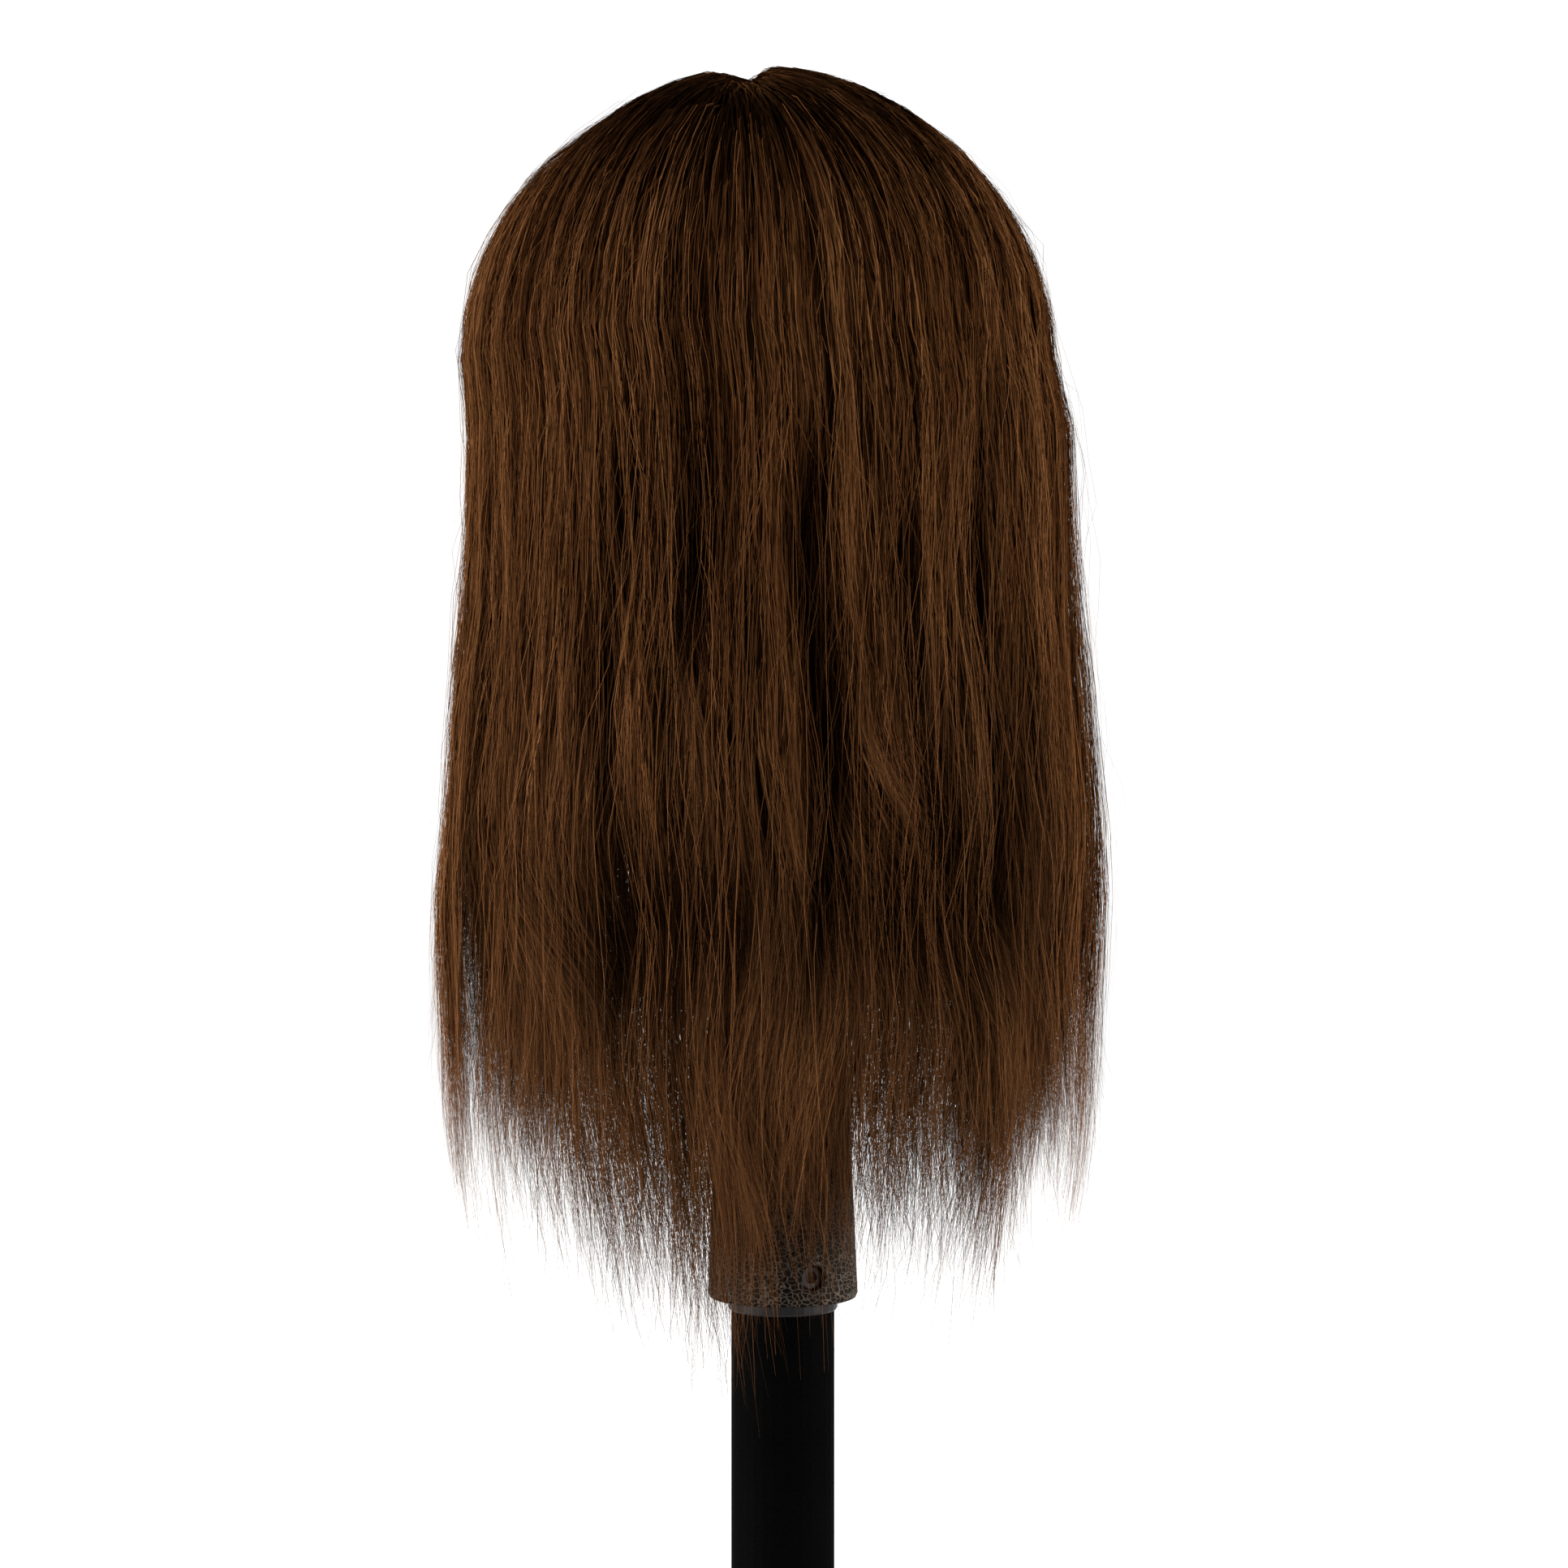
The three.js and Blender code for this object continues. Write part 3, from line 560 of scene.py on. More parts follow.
def make_lashes(finish):
    """Lashes: short hairs that start on the upper lid's edge, spread outwards like a fan and
    curl up as a quarter of a wave. A shorter row grows on the lower lid."""
    rng = np.random.default_rng(11)
    steps = np.linspace(0.0, 1.0, 7)
    for side, name in ((1, "left"), (-1, "right")):
        paths = []
        for count, length, upper in ((130, 7.5, True), (50, 3.0, False)):
            spot = rng.uniform(-0.93, 0.93, count) * EYE["half"]
            arch = 1 - (spot / EYE["half"]) ** 2
            tilt = EYE_OPEN["tilt"] * spot
            if upper:
                edge = EYE_OPEN["up"] * arch**0.8 + 0.3
            else:
                edge = -EYE_OPEN["down"] * arch**0.9 - 0.3
            x = side * (EYE["x"] + spot)
            height = EYE["height"] + tilt + edge
            root_y = EYE["y"] - np.sqrt((EYE["radius"] + 0.9) ** 2 - spot**2 - edge**2)
            reach = length * rng.uniform(0.75, 1.0, count)[:, None] * steps
            lift = (0.75 if upper else -0.5) * reach * steps
            fan = side * 0.045 * spot[:, None] * reach
            paths.append(
                np.stack(
                    [
                        x[:, None] + fan,
                        root_y[:, None] - 0.85 * reach,
                        height[:, None] + lift - (0.12 if upper else 0.0) * reach,
                    ],
                    -1,
                )
            )
        path = np.concatenate(paths)
        path[..., 2] += NECK_BASE
        count = len(path)
        facing = np.broadcast_to([0.0, 0.0, 1.0], path.shape)
        lean = even_lean(rng, 0.4, count, len(steps))
        points, quads = strands(path * MM, np.full(count, 0.22 * MM), lean, facing)
        mesh = new_mesh(f"lashes_{name}", points, quads)
        paint_strands(mesh, count, len(steps), np.full(count, 0.1))
        add_piece(mesh, finish, "head", [f"eyelash_{name}"])


def make_brows(finish):
    """Brows: short hairs that lie on the skin along an arch, upright near the nose and combed
    outwards further on."""
    rng = np.random.default_rng(12)
    steps = np.linspace(0.0, 1.0, 5)
    count = 560
    spot = rng.uniform(0.0, 1.0, count) ** 0.9
    side = np.where(rng.random(count) < 0.5, -1.0, 1.0)
    thick = 3.4 * (1 - 0.7 * spot) * rng.uniform(-1, 1, count)
    x0 = 14 + 37 * spot
    z0 = 203.5 + 6.5 * np.sin(np.pi * np.clip(spot * 0.72 + 0.05, 0, 1)) - 3.5 * spot**2 + thick
    heading = np.radians(mix(62, -8, smooth(spot, 0.0, 0.4)) + rng.normal(0, 6, count))
    reach = rng.uniform(4.5, 7.0, count)[:, None] * steps
    x = x0[:, None] + reach * np.cos(heading)[:, None]
    height = z0[:, None] + reach * np.sin(heading)[:, None]
    y = skin_front(x, height) - 0.15 - 0.5 * np.sin(np.pi * steps) * 0.5
    path = np.stack([x * side[:, None], y, height + NECK_BASE], -1) * MM
    facing = np.broadcast_to([0.0, -1.0, 0.0], path.shape)
    lean = even_lean(rng, 0.4, count, len(steps))
    points, quads = strands(path, np.full(count, 0.2 * MM), lean, facing)
    mesh = new_mesh("brows", points, quads)
    paint_strands(mesh, count, len(steps), rng.uniform(0.35, 0.7, count))
    add_piece(mesh, finish, "head")


# ---------------------------------------------------------------- the shape of the hair


def hair_centre(z):
    """The middle of the hair lies a little to the head's left, more so above its widest level."""
    return mix(4.0, 7.0, smooth(z, 425, 450))


def hair_reach(angle, z):
    """The reach of the hair's outside along X and along Y at a height, front and back apart."""
    front, back, side = (level_curve(HAIR_LEVELS, column, z) for column in (1, 2, 3))
    return side, np.where(np.sin(angle) < 0, front, back)


def tip_height(angle):
    """How low the longest hair hangs at an angle, in millimetres, from degrees."""
    return level_curve(TIP_LEVELS, 1, angle)


def part_start(angle):
    """Where hair that falls at this angle leaves the parting, in plan: from the crown for the
    back, and further forward along the parting for hair nearer to the face."""
    round_from_back = np.abs(angle - 90.0)
    y = mix(CROWN["y"], CROWN["front"], np.clip((round_from_back - 36) / (FRONT_EDGE - 36), 0, 1))
    return CROWN["x"] + 0 * y, y


def dome_plan(angle, v, aside=0.0, behind=0.0):
    """The plan position along a line of fall over the top of the head, as shares of the widest
    ring: from the parting, v 0, to the ring, v 1, spaced as a quarter of a sine wave. The start
    may be moved in millimetres, and hair beside the crown first bows towards the face."""
    radians = np.radians(angle)
    side, reach = hair_reach(radians, RING)
    x0, y0 = part_start(angle)
    start_reach = np.where(y0 < 0, HAIR_LEVELS[-1, 1], HAIR_LEVELS[-1, 2])
    a0, b0 = (x0 + aside - hair_centre(RING)) / side, (y0 + behind) / start_reach
    share = np.sin(v * np.pi / 2)
    forward = 0.2 * bell(np.abs(angle - 90.0), 46.0, 24.0) * np.sin(np.pi * v**0.55) * (1 - v)
    return mix(a0, np.cos(radians), share), mix(b0, np.sin(radians), share) - forward


def dome_point(a, b, layer):
    """A point over the top of the head from its plan shares: layer 0 lies on the scalp, layer 1
    on the outside of the hair, and both are domes whose height falls as their radius grows."""
    radius = np.minimum(np.sqrt(a * a + b * b), 1.0)
    back = b >= 0
    outer = np.stack(
        [
            hair_centre(RING) + a * HAIR_LEVELS[-1, 3],
            b * np.where(back, HAIR_LEVELS[-1, 2], HAIR_LEVELS[-1, 1]),
            RING + (HAIR_TOP - RING) * dome_share(radius, HAIR_POWER),
        ],
        -1,
    )
    scalp = np.stack(
        [
            a * INNER_DOME["side"],
            b * np.where(back, INNER_DOME["back"], INNER_DOME["front"]),
            RING + (INNER_DOME["top"] - RING) * dome_share(radius, INNER_DOME["power"]),
        ],
        -1,
    )
    return mix(scalp, outer, layer[..., None])


def sunk_depth(angle, z):
    """How far the outside sinks: a wandering bell across each furrow that opens and closes
    smoothly at its ends, and a bell both ways for each hollow."""
    depth = np.zeros(np.broadcast(angle, z).shape)
    for centre, width, amount, low, high in FURROWS:
        wander = 2.2 * np.sin(z / 23.0 + centre)
        open_share = smooth(z, low - 25, low + 15) * (1 - smooth(z, high - 40, high + 10))
        depth += amount * bell(angle + wander, centre, width) * open_share
    for centre, width, height, spread, amount in DENTS:
        depth += amount * bell(angle, centre, width) * bell(z, height, spread)
    return depth


def sweep_turn(angle, z, layer):
    """How far locks have turned aside, in degrees, by the time they have fallen to a height."""
    turn = np.zeros(np.broadcast(angle, z, layer).shape)
    for centre, width, start, end, amount, fade in SWEEPS:
        follows = smooth(layer, fade, fade + 0.25) if fade > 0 else 1.0
        turn += amount * bell(angle, centre, width) * smooth(-z, -start, -end) * follows
    return turn


def hanging_point(angle, z, layer):
    """A point of the hair below its widest level. Layer 1 is the outside, and layer 0 lies a
    thickness inside it, on the skull near the top."""
    radians = np.radians(angle)
    side, reach = hair_reach(radians, z)
    thick_side = mix(30.0, 25.0, smooth(z, 300, RING))
    thick_reach = mix(32.0, 18.0, smooth(z, 300, RING))
    inside = 1.0 - layer
    sunk = sunk_depth(angle, z) * smooth(layer, 0.2, 0.9)
    x = hair_centre(z) + np.cos(radians) * (side - thick_side * inside - sunk)
    y = np.sin(radians) * (reach - thick_reach * inside - sunk)
    return np.stack([x, y, z + 0 * x], -1)


def foot_height(angle):
    """Height in millimetres of the foot of the dense hair: higher at the two sides."""
    return DENSE_FOOT + 26.0 * bell(angle, 0.0, 14.0) + 10.0 * bell(angle, 182.0, 10.0)


def end_height(angle, rank):
    """Where a strand ends: its rank among all strands is looked up in END_SHARES, and the level
    found lies between the longest tip at its angle and the foot of the dense hair."""
    longest = tip_height(angle)
    level = np.interp(rank, END_SHARES, END_LEVELS)
    return mix(longest, foot_height(angle), level)


def paint_strands(mesh, count, steps, tint, shade=None, start=0.0):
    """Paints each strand's own tint, its run from root to tip and its painted shade on both edges,
    and maps U across a strand and V along it."""
    along = np.broadcast_to(np.linspace(start, 1, steps)[None, :, None], (count, steps, 2)).ravel()
    own = np.broadcast_to(np.asarray(tint)[:, None, None], (count, steps, 2)).ravel()
    shade = np.zeros((count, steps)) if shade is None else shade
    both = np.broadcast_to(shade[:, :, None], (count, steps, 2)).ravel()
    paint(mesh, tint=own, along=along, shade=both)
    across = np.broadcast_to(np.array([0.0, 1.0])[None, None, :], (count, steps, 2)).ravel()
    map_surface(mesh, across, along)


def lock_cells(rng, angle, layer, spacing, layers):
    """Sorts strands into locks: cells of an angle grid by layers, with each row of cells
    shifted by its own amount. Gives each strand its lock's middle angle and layer, and five
    random numbers from 0 to 1 that are the same for the whole lock."""
    row = np.clip(np.floor(layer * layers), 0, layers).astype(int)
    shift = rng.uniform(0, 1, layers + 1)[row]
    column = np.floor(angle / spacing + shift).astype(int)
    column -= column.min()
    draws = rng.random((column.max() + 1, layers + 1, 7))[column, row]
    first = np.floor(angle / spacing + shift) - shift
    middle = (first + 0.5 + 0.7 * (draws[:, 0] - 0.5)) * spacing
    depth = (row + 0.5 + 0.6 * (draws[:, 1] - 0.5)) / layers
    return middle, np.minimum(depth, 1.03), draws[:, 2:]


def over_and_down(angle, root, wanted, tip, steps, locks, fine, settings):
    """Paths in millimetres of strands that start on the scalp at the share root of the way from
    the parting to the widest ring, rise to their layer, follow the line of fall, and hang.

    Behind the crown each fine lock starts a few millimetres from the parting, in its own
    direction. The painted shade deepens round the crown, at the roots and in the inner layers."""
    spacing = 1.05 + 0.95 * fine[2][:, 1:2]
    share = np.linspace(0, 1, DOME_POINTS)[None, :] ** spacing
    v = root[:, None] + (1 - root[:, None]) * share
    rise = mix(0.45, 1.0, smooth(v - root[:, None], -0.02, 0.1))
    scatter = (fine[2][:, 2:4] - 0.5) * (1 - smooth(np.abs(angle - 90.0), 26, 52))[:, None]
    a, b = dome_plan(angle[:, None], v, 9.0 * scatter[:, :1], 13.0 * scatter[:, 1:])
    phase = 2 * np.pi * locks[2][:, :1]
    sway = 0.008 * np.sin(5.0 * v + phase) * np.sin(np.pi * np.clip(v, 0, 1))
    above = wanted[:, None] * rise
    top = dome_point(a - b * sway, b + a * sway, above)
    # Painted shade: darker in the inner layers, round the crown behind the parting, and near the
    # roots of strands that start lower on the dome.
    crown = 0.9 * (1 - smooth(v, 0.3, 0.9)) * bell(angle[:, None], 88.0, 50.0)
    crown = crown * mix(0.1, 1.0, smooth(v, 0.02, 0.2))
    rooted = 0.5 * (1 - smooth(v - root[:, None], 0.0, 0.2)) * smooth(root[:, None], 0.0, 0.1)
    dark = np.maximum(0.75 * (1 - wanted[:, None]), np.maximum(crown, rooted))
    fall = np.linspace(0, 1, steps - DOME_POINTS + 1)[1:] ** 0.92
    z = RING + (tip[:, None] - RING) * fall[None, :]
    hang, shade = hang_down(angle, wanted, z, fall, locks, fine, settings)
    return np.concatenate([top, hang], axis=1), np.concatenate([dark, shade], axis=1)


def hang_down(angle, wanted, z, fall, locks, fine, settings, hold=1.0):
    """The hanging part of strands, at the heights z, by their angle, layer and locks, and how
    much painted shade each point takes, which grows with its depth and with that of furrows and
    hollows.

    A strand's angle closes on the middle of its fine lock and then a little on that of its
    large one, and opens again near the tip. Large locks sway as sines of the height, and a
    shared wave runs down the outer hair and moves slowly round the head."""
    phase, length = 2 * np.pi * locks[2][:, :1], 85 + 70 * locks[2][:, 1:2]
    fallen = smooth(RING - z, 10, 190)
    near = hold * settings.gather * fall**0.7 * (1 - 0.6 * smooth(fall, 0.7, 1.0))
    far = 0.4 * settings.gather * smooth(fall, 0.15, 0.8) * (1 - 0.3 * smooth(fall, 0.8, 1.0))
    turned = angle[:, None] + (fine[0] - angle)[:, None] * near + (locks[0] - angle)[:, None] * far
    wave = mix(0.4, 1.5, locks[2][:, 2:3]) * np.sin(2 * np.pi * z / length + phase)
    deep = wanted[:, None] + (fine[1] - wanted)[:, None] * 0.8 * near
    swing = np.sin(2 * np.pi * z / 118.0 + 1.7 * phase)
    deep = deep + (0.02 + 0.05 * locks[2][:, 3:4]) * swing * fallen
    deep = np.clip(deep, -0.1, 1.08)
    shared = 1.7 * np.sin(2 * np.pi * z / 138.0 + 0.085 * angle[:, None] + 1.0)
    swept = sweep_turn(turned, z, deep)
    turned = turned + (wave + shared * smooth(deep, 0.3, 0.9)) * fallen + swept
    sunk = sunk_depth(turned, z) * smooth(deep, 0.2, 0.9)
    # Painted shade: darker in the deeper layers and where furrows and hollows sink the hair.
    return hanging_point(turned, z, deep), np.clip(0.8 * (1 - deep) + 0.1 * sunk, 0.0, 0.95)


def stray(rng, path, size):
    """Lets each strand wander: three small sines along its run, each in its own direction, and
    a bend that grows as the square of the run over the last part of its length."""
    run, count = run_along(path), len(path)
    end = smooth(run / np.maximum(run[:, -1:], 1.0), 0.72, 1.15) ** 1.5
    for axis, share in enumerate((1.0, 1.0, 0.4)):
        for amount, pitch in ((0.8, 95.0), (0.45, 43.0), (0.2, 21.0)):
            phase = rng.uniform(0, 2 * np.pi, count)[:, None]
            scale = rng.normal(0, share * amount * size, count)[:, None]
            ripple = np.sin(2 * np.pi * run / pitch + phase)
            path[..., axis] += scale * smooth(run, 20, 150) * ripple
        bend = np.clip(rng.normal(0, 5.5 * share * size, count), -14, 14)
        path[..., axis] += bend[:, None] * end
    return path


def run_along(path):
    """How far along its own path each point of each strand lies."""
    return np.cumsum(np.linalg.norm(np.diff(path, axis=1, prepend=path[:, :1]), axis=-1), axis=1)


def even_lean(rng, amount, count, steps):
    """One lean for each strand, the same at all of its points."""
    return np.repeat(rng.uniform(-amount, amount, count)[:, None], steps, 1)


def rank_of(own, lock):
    """An even rank from two even draws: the share of all pairs whose mean is below theirs."""
    mean = 0.5 * (own + lock)
    return np.where(mean < 0.5, 2 * mean**2, 1 - 2 * (1 - mean) ** 2)


def locks_and_tips(rng, angle, layer):
    """The large and the fine lock of each strand, and the height where it ends. Strands of the
    middle lock, which falls over the holder, are longer."""
    locks = lock_cells(rng, angle, layer, LARGE_LOCK, LARGE_LAYERS)
    fine = lock_cells(rng, angle, layer, FINE_LOCK, FINE_LAYERS)
    central = 1.0 + 0.8 * bell(angle, 86.5, 6.0)
    rank = rank_of(rng.random(len(angle)), locks[2][:, 4]) / central
    return locks, fine, end_height(angle, rank) + rng.normal(0, 4, len(angle))


def sector_strands(rng, low, high, settings):
    """All the strands between two angles: those from the scalp above the widest ring, and those
    that grow below it and hang inside them. Gives paths in metres, tints and painted shades."""
    steps = settings.steps
    total = int(settings.per_degree * (high - low))
    dome = int(FROM_THE_DOME * total)

    angle = rng.uniform(low, high, dome)
    root = rng.random(dome) ** 1.5
    wanted = np.clip(1.0 - 0.6 * root - np.abs(rng.normal(0, 0.05, dome)), 0.05, 1.0)
    outer = rng.random(dome) < STANDING_OUT
    wanted = np.where(outer, wanted + rng.uniform(0, 0.08, dome), wanted)
    locks, fine, tip = locks_and_tips(rng, angle, wanted)
    upper, shade = over_and_down(angle, root, wanted, tip, steps, locks, fine, settings)
    tint = 0.46 + 0.6 * (fine[2][:, 0] - 0.5) + 0.24 * (locks[2][:, 0] - 0.5)
    tint += rng.normal(0, 0.2, dome)
    # Painted glints: a few strands are pushed up the ramp towards the glint colour.
    tint += 0.4 * (rng.random(dome) < GLINT_STRANDS)

    rest = total - dome
    angle2 = rng.uniform(low, high, rest)
    wanted2 = rng.uniform(0.0, 0.6, rest)
    locks2, fine2, tip2 = locks_and_tips(rng, angle2, wanted2)
    root_z = np.maximum(rng.uniform(310, 440, rest), tip2 + 40)
    fall = np.linspace(0, 1, steps)
    z = root_z[:, None] + (tip2 - root_z)[:, None] * fall[None, :]
    lower, shade2 = hang_down(angle2, wanted2, z, fall, locks2, fine2, settings)
    nape = hanging_point(angle2[:, None], z, np.full_like(z, -0.12))
    lower = mix(nape, lower, smooth(root_z[:, None] - z, 0, 70)[..., None])
    tint2 = 0.42 + 0.3 * (fine2[2][:, 0] - 0.5) + rng.normal(0, 0.14, rest)

    path = stray(rng, np.concatenate([upper, lower]), settings.frizz)
    tint = np.clip(np.concatenate([tint, tint2]), 0, 1)
    return path * MM, tint, np.concatenate([shade, shade2])


def outward_of(paths):
    """The outward direction at each point: away from the head's axis, and upwards as well where
    the hair lies on top."""
    centre = np.array([6.0, 2.0, 430.0]) * MM
    away = paths - centre
    away[..., 2] = np.where(paths[..., 2] > centre[2], away[..., 2], 0.0)
    return unit(away)


def make_strands(settings, finish):
    """The combed hair, one piece for each sector so that none is too heavy."""
    for number, (name, low, high) in enumerate(zip(SECTOR_NAMES, SECTORS, SECTORS[1:])):
        rng = np.random.default_rng(settings.seed * 100 + number)
        paths, tint, shade = sector_strands(rng, low, high, settings)
        count, steps, _ = paths.shape
        lean = rng.normal(0, 0.5, count)[:, None] + 0.35 * np.sin(
            np.linspace(0, 5, steps)[None, :] + rng.uniform(0, 6.28, count)[:, None]
        )
        widths = settings.strand_width * rng.uniform(0.6, 1.35, count)
        points, quads = strands(paths, widths, lean, outward_of(paths))
        mesh = new_mesh(f"hair_strands_{name}", points, quads)
        paint_strands(mesh, count, steps, tint, shade)
        replaced = [SECTOR_NODES[name]] if name in SECTOR_NODES else []
        add_piece(mesh, finish, "head", replaced)


def make_ends(settings, finish):
    """The thin ends of the longest hair, left and right: fine single hairs that leave the body
    of the hair above its dense foot and spread as they fall. Each wisp leans its own way round
    the head, and each hair bends and ripples a little more towards its tip."""
    for number, (name, low, high) in enumerate((("left", -44, 90), ("right", 90, 224))):
        rng = np.random.default_rng(settings.seed * 100 + 55 + number)
        count, steps = settings.ends // 2, 8
        angle = rng.uniform(low, high, count)
        wanted = rng.uniform(0.05, 1.0, count)
        locks = lock_cells(rng, angle, wanted, END_LOCK, END_LAYERS)
        fine = lock_cells(rng, angle, wanted, FINE_END_LOCK, FINE_END_LAYERS)
        rank = 0.44 * rng.random(count) + 0.34 * locks[2][:, 4] + 0.22 * fine[2][:, 4]
        rank = rank ** mix(0.9, 0.45, bell(angle, 91.0, 7.5))
        tip = mix(tip_height(angle) - 8, foot_height(angle) - 4, rank) + rng.normal(0, 4, count)
        start = rng.uniform(255, 305, count)
        fall = np.linspace(0, 1, steps)
        z = start[:, None] + (tip - start)[:, None] * fall[None, :]
        path, shade = hang_down(angle, wanted, z, 0.55 + 0.45 * fall, locks, fine, settings, 0.5)
        end = fall[None, :] ** 1.8
        around = np.radians(angle)
        lock_lean = 16 * (locks[2][:, 2] - 0.5) + 12 * (fine[2][:, 2] - 0.5)
        along = (-np.sin(around), np.cos(around))
        for axis in (0, 1):
            bend = 0.8 * rng.normal(0, 8, count) + lock_lean * along[axis]
            path[..., axis] += np.clip(bend, -END_BEND, END_BEND)[:, None] * end
            phase = rng.uniform(0, 2 * np.pi, count)[:, None]
            path[..., axis] += rng.normal(0, 1.8, count)[:, None] * end * np.sin(z / 10.0 + phase)
        path *= MM
        lean = even_lean(rng, 0.7, count, steps)
        width = 0.48 * settings.strand_width * rng.uniform(0.7, 1.2, count)
        points, quads = strands(path, width, lean, outward_of(path))
        mesh = new_mesh(f"hair_thin_ends_{name}", points, quads)
        tint = 0.26 + 0.3 * fine[2][:, 1] + 0.16 * locks[2][:, 1] + rng.normal(0, 0.2, count)
        tint = np.clip(tint, 0, 1)
        # The painted shade of the thin ends is held to at most 0.55.
        paint_strands(mesh, count, steps, tint, np.minimum(shade, 0.55), 0.72)
        add_piece(mesh, finish, "head")


def make_flyaways(settings, finish):
    """Hair that stands off the outside: loose single hairs anywhere, and small wisps at the
    sides. Each keeps its line of fall at a layer outside the rest, with slow waves."""
    rng = np.random.default_rng(settings.seed * 100 + 77)
    single, over, steps = settings.flyaways, 8, 19
    wisps, edge = WISPS, EDGE_WISPS * WISP_HAIRS
    on_left = rng.random(wisps) < 0.62
    middle = np.where(on_left, rng.normal(6, 11, wisps), rng.normal(176, 10, wisps))
    middle[:EDGE_WISPS] = (1.0, 3.5, -3.0, 7.0)
    angle = np.concatenate([rng.uniform(-42, 222, single), np.repeat(middle, WISP_HAIRS)])
    count = len(angle)
    loose = np.arange(count) < single
    angle = angle + np.where(loose, 0.0, rng.normal(0, 0.8, count))
    root = np.where(loose, rng.uniform(0.0, 0.9, count), rng.uniform(0.1, 0.5, count))
    lift = np.repeat(rng.uniform(0.03, 0.24, wisps), WISP_HAIRS)
    lift[:edge] = 0.05
    off = 1.0 + np.where(loose, rng.exponential(0.08, count).clip(0, 0.34), 0.0)
    off[~loose] += lift * rng.uniform(0.6, 1.15, count - single)
    v = root[:, None] + (1 - root[:, None]) * np.linspace(0, 1, over)[None, :]
    rise = smooth(v - root[:, None], 0.0, 0.3)
    a, b = dome_plan(angle[:, None], v)
    swell = np.zeros(count)
    swell[single : single + edge] = 0.13 * rng.uniform(0.5, 1.2, edge)
    top = dome_point(a, b, (off[:, None] + swell[:, None] * smooth(v, 0.5, 1.0)) * rise)
    fall = np.linspace(0, 1, steps - over + 1)[1:]
    short = RING - rng.uniform(60, 330, count)
    hung = tip_height(angle) + 75 * rng.random(count) ** 1.5
    tip = np.maximum(tip_height(angle), np.where(loose, short, hung))
    z = RING + (tip[:, None] - RING) * fall[None, :]
    drift = rng.normal(0, 5, count)[:, None] * fall[None, :] ** 1.5
    drift = drift * np.where(loose, 1.0, 0.25)[:, None]
    spread = np.where(loose, 0.12, 0.05)[:, None] * rng.normal(0, 1, count)[:, None]
    layer = off[:, None] + swell[:, None] * bell(z, RING, 26) + spread * fall[None, :]
    hang = hanging_point(angle[:, None] + drift, z, np.clip(layer, 0.8, 1.34))
    path = np.concatenate([top, hang], axis=1)
    run = run_along(path)
    for size, pitch in ((2.4, 130.0), (1.1, 52.0)):
        for axis in range(2):
            phase = rng.uniform(0, 2 * np.pi, count)[:, None]
            scale = rng.normal(0, 1, count) * np.where(loose, size, 0.45 * size)
            ripple = np.sin(2 * np.pi * run / pitch + phase)
            path[..., axis] += scale[:, None] * smooth(run, 5, 90) * ripple
    path *= MM
    lean = even_lean(rng, 0.8, count, steps)
    points, quads = strands(path, np.where(loose, 0.15, 0.2) * MM, lean, outward_of(path))
    mesh = new_mesh("hair_flyaways", points, quads)
    paint_strands(mesh, count, steps, rng.uniform(0.4, 0.95, count))
    add_piece(mesh, finish, "head")


def make_under_layer(settings, finish):
    """The body of the hair under the strands, left and right of the parting: a closed sheet
    that follows the lines of fall at a middle layer, with a second face further in. Narrow
    ridges run down it, and its lower edge ends in teeth as locks do."""
    over, down = 26, 40
    for name, low, high, node in (
        ("left", -43.0, 90.0, "hair_top_left"),
        ("right", 90.0, 223.0, "hair_top_right"),
    ):
        columns = UNDER_COLUMNS
        angle = np.linspace(low, high, columns)[None, :]
        teeth = 0.5 + 0.5 * np.sin(angle * 2.3) * np.sin(angle * 0.83 + 1.0)
        comb = 0.5 + 0.5 * np.sin(angle * 7.1 + 2 * np.sin(angle * 1.7))
        end = foot_height(angle) + 40.0 + 16 * teeth + 14 * comb
        v = np.linspace(0.0, 1.0, over)[:, None]
        fall = np.linspace(0.0, 1.0, down + 1)[1:, None]
        z = RING + (end - RING) * fall
        ridge = 0.035 * np.sin(angle * 4.7 + 1.5 * np.sin(angle * 1.3))
        ridge = ridge + 0.02 * np.sin(angle * 11.3)
        faces = []
        for layer, thin in ((0.66, 0.0), (0.22, 0.25)):
            rise = smooth(v, 0.0, 0.2)
            a, b = dome_plan(angle, v)
            top = dome_point(a, b, (layer + ridge) * rise + 0.04)
            deep = layer + ridge + thin * fall
            turned = angle + sweep_turn(angle, z, deep) * fall
            faces.append(np.concatenate([top, hanging_point(turned, z, deep + 0 * z)], axis=0))
        outer, inner = faces
        rows = over + down
        index = np.arange(rows * columns).reshape(rows, columns)
        other = index + rows * columns
        quads = [grid_quads(rows, columns), grid_quads(rows, columns)[:, ::-1] + rows * columns]
        for edge, back, flip in (
            (index[0], other[0], True),
            (index[-1], other[-1], False),
            (index[:, 0], other[:, 0], False),
            (index[:, -1], other[:, -1], True),
        ):
            strip = np.stack([edge[:-1], back[:-1], back[1:], edge[1:]], -1)
            quads.append(strip[:, ::-1] if flip else strip)
        points = np.concatenate([outer.reshape(-1, 3), inner.reshape(-1, 3)]) * MM
        mesh = new_mesh(f"hair_under_layer_{name}", points, np.concatenate(quads))
        across = np.broadcast_to(angle / 90.0, (rows, columns)).ravel()
        along = np.broadcast_to(np.linspace(0, 1, rows)[:, None], (rows, columns)).ravel()
        paint(mesh, along=np.tile(along, 2))
        map_surface(mesh, np.tile(across, 2), np.tile(along, 2))
        add_piece(mesh, finish, "head", [node])


# ---------------------------------------------------------------- materials


